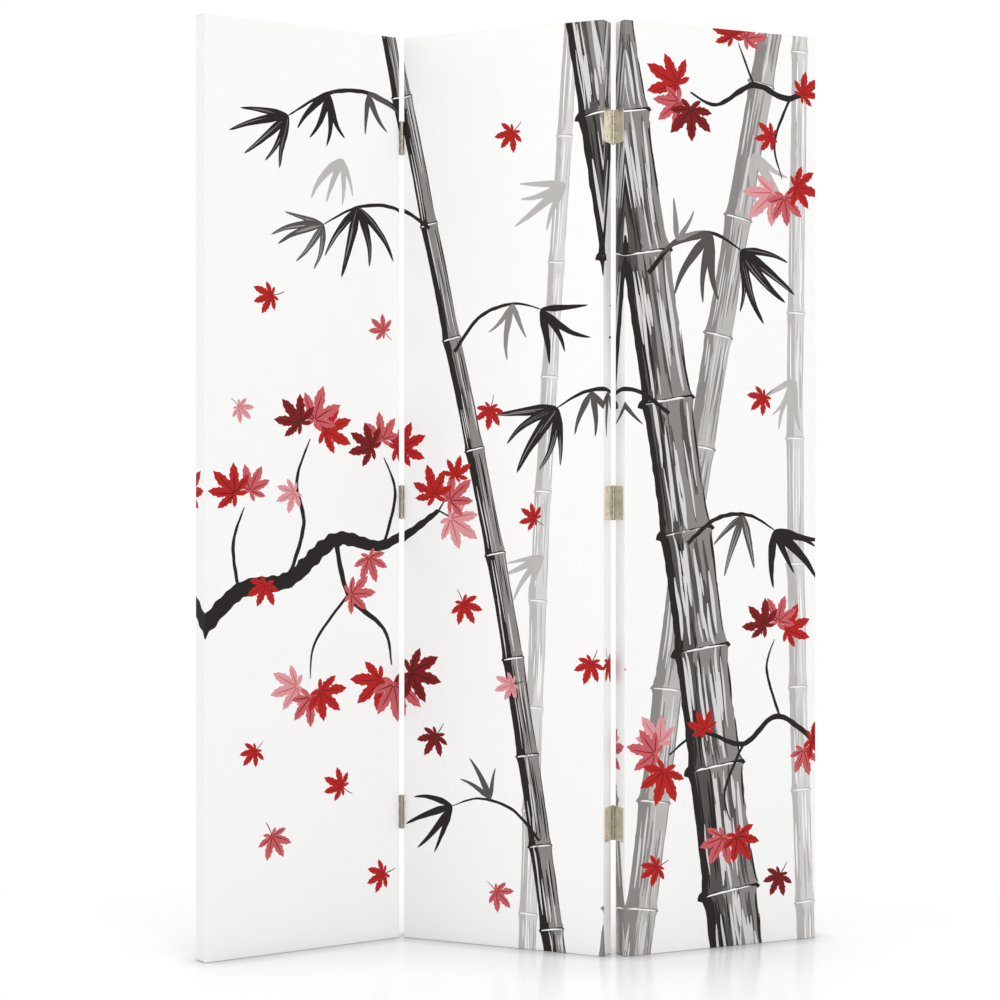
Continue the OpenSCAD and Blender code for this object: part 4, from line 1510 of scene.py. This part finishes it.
class SCREEN_OT_fasteners(bpy.types.Operator):
    """Scatters the hinge screws and the staples that hold the canvas"""

    bl_idname = "folding_screen.fasteners"
    bl_label = "Screws and staples"

    def execute(self, context):
        look = context.scene.screen_hinge
        tree = scatter_tree()
        screw_brass = metal_material("screw_brass", look.screw, look.brass_dark, 0.5)
        steel = metal_material("staple_steel", look.steel, look.steel_dark, 0.5)
        screw, staple = screw_template(), staple_template()
        for number, panel in enumerate(PANELS):
            body, seed = f"{panel}_panel", look.seed + number
            leaf = "middle" if panel == "middle" else "side"
            joints = LEAVES if panel == "middle" else (panel,)
            nodes = [f"{row}_{joint}_hinge_{leaf}_screws" for row in HINGE_ROWS for joint in joints]
            places = screw_places(panel)
            piece = scattered(f"{panel}_screws", places, screw, tree, look.head_turn, seed, screw_brass)
            keep_place(piece, body, "hinge_screws", *nodes)
            places = staple_places(panel)
            piece = scattered(f"{panel}_staples", places, staple, tree, look.staple_tilt, seed, steel)
            keep_place(piece, body, "staple_steel", f"{panel}_panel_staples")
        for used in (screw, staple):
            bpy.data.objects.remove(used)
        return {"FINISHED"}


# Stage

def seen_directly(tree):
    """1 for rays from the camera, a mirror or glass, and 0 for those that light the object."""
    path = put(tree, "ShaderNodeLightPath").outputs
    either = maths(tree, "MAXIMUM", path["Is Camera Ray"], path["Is Glossy Ray"])
    return maths(tree, "MAXIMUM", either, path["Is Transmission Ray"])


def soft_light(name, place, power):
    """A round lamp that points at the middle of the screen."""
    light = bpy.data.lights.new(name, "AREA")
    light.shape = "DISK"
    light.size = LAMP_SIZE
    light.energy = power
    lamp = bpy.data.objects.new(name, light)
    lamp.location = place
    aim = Vector((0, 0, PANEL_H * MM / 2)) - Vector(place)
    lamp.rotation_euler = aim.to_track_quat("-Z", "Y").to_euler()
    bpy.context.scene.collection.objects.link(lamp)


def floor_material(view):
    """Pale floor with a faint gloss, with a painted shadow where something stands on it.

    It fades into the white background all round.
    """
    material, tree, shader = tree_of("studio_floor")
    shades = []
    # Ambient occlusion darkens the floor's colour and its lift near what stands on it: a painted contact
    # shadow, one strong and one faint
    for distance, darkest in ((view.contact, CONTACT_DARK), (view.soft_contact, SOFT_CONTACT_DARK)):
        sky = put(tree, "ShaderNodeAmbientOcclusion", (("Distance", distance),), samples=8)
        shades.append(remap(tree, sky.outputs["AO"], 0.5, 1.0, darkest, 1.0))
    shade = maths(tree, "MULTIPLY", *shades)
    seen = maths(tree, "MULTIPLY", seen_directly(tree), shade)
    feed(tree, shader, Base_Color=between(tree, shade, (0, 0, 0, 1), tuple(view.floor)),
         Roughness=0.2, Specular_IOR_Level=0.15, Emission_Color=(1, 1, 1, 1),
         Emission_Strength=maths(tree, "MULTIPLY", seen, view.lift))
    place = stretched(tree, put(tree, "ShaderNodeTexCoord").outputs["Object"], FADE_ACROSS, 1, 1)
    far = remap(tree, size_of(tree, place), FADE_START, FADE_END, 0.0, 1.0)
    far = maths(tree, "MULTIPLY", far, seen)
    glow = put(tree, "ShaderNodeEmission", (("Strength", 1.0),))
    links = ((0, far), (1, shader.outputs["BSDF"]), (2, glow.outputs[0]))
    mixed = put(tree, "ShaderNodeMixShader", links)
    output = next(n for n in tree.nodes if n.type == "OUTPUT_MATERIAL")
    tree.links.new(mixed.outputs[0], output.inputs["Surface"])
    return material


def white_sky(strength):
    """White all round, which lights the object at a strength of its own."""
    world = bpy.data.worlds.new("studio")
    world.use_nodes = True
    tree = world.node_tree
    tree.nodes.clear()
    light, shown = [put(tree, "ShaderNodeBackground", (("Color", (1, 1, 1, 1)), ("Strength", power)))
                    for power in (strength, 1.0)]
    links = ((0, seen_directly(tree)), (1, light.outputs[0]), (2, shown.outputs[0]))
    mixed = put(tree, "ShaderNodeMixShader", links)
    put(tree, "ShaderNodeOutputWorld", (("Surface", mixed.outputs[0]),))
    return world


class SCREEN_OT_stage(bpy.types.Operator):
    """Sets up the camera, the soft lights and the pale floor"""

    bl_idname = "folding_screen.stage"
    bl_label = "Stage"

    def execute(self, context):
        scene, view = context.scene, context.scene.screen_stage
        lens = bpy.data.cameras.new("camera")
        lens.lens = view.lens
        lens.sensor_width = SENSOR_W
        lens.shift_y = view.rise
        lens.clip_end = FAR_CLIP
        camera = bpy.data.objects.new("camera", lens)
        camera.location = (view.side, -view.distance, view.height)
        camera.rotation_euler = (math.pi / 2, 0, view.heading)
        scene.collection.objects.link(camera)
        scene.camera = camera
        scene.view_settings.view_transform = "Standard"
        scene.world = white_sky(view.sky)
        soft_light("key_light", KEY_PLACE, view.key)
        soft_light("side_light", SIDE_PLACE, view.side_light)
        corners = [(x * FLOOR_HALF, y * FLOOR_HALF, 0) for x, y in ((-1, -1), (1, -1), (1, 1), (-1, 1))]
        floor = new_piece("floor", corners, [(0, 1, 2, 3)], [floor_material(view)])
        return {"FINISHED"}


OPERATORS = (SCREEN_OT_stage, SCREEN_OT_canvases, SCREEN_OT_frames, SCREEN_OT_hinges, SCREEN_OT_fasteners)


class SCREEN_PT_panel(bpy.types.Panel):
    """Sizes, colours and building steps of the folding screen"""

    bl_idname = "SCREEN_PT_panel"
    bl_label = "Folding screen"
    bl_space_type = "VIEW_3D"
    bl_region_type = "UI"
    bl_category = "Screen"

    def draw(self, context):
        for operator in OPERATORS:
            self.layout.operator(operator.bl_idname)
        for name, kind in SETTINGS.items():
            box = self.layout.box()
            box.label(text=kind.__doc__)
            for value in kind.__annotations__:
                box.prop(getattr(context.scene, name), value)


CLASSES = (*SETTINGS.values(), *OPERATORS, SCREEN_PT_panel)


def register():
    for made in CLASSES:
        bpy.utils.register_class(made)
    for name, kind in SETTINGS.items():
        setattr(bpy.types.Scene, name, PointerProperty(type=kind))


def unregister():
    for name in SETTINGS:
        delattr(bpy.types.Scene, name)
    for made in reversed(CLASSES):
        bpy.utils.unregister_class(made)


def main():
    """Registers the add-on and runs its steps."""
    register()
    bpy.ops.folding_screen.stage()
    bpy.ops.folding_screen.canvases()
    bpy.ops.folding_screen.frames()
    bpy.ops.folding_screen.hinges()
    bpy.ops.folding_screen.fasteners()


if __name__ == "__main__":
    main()
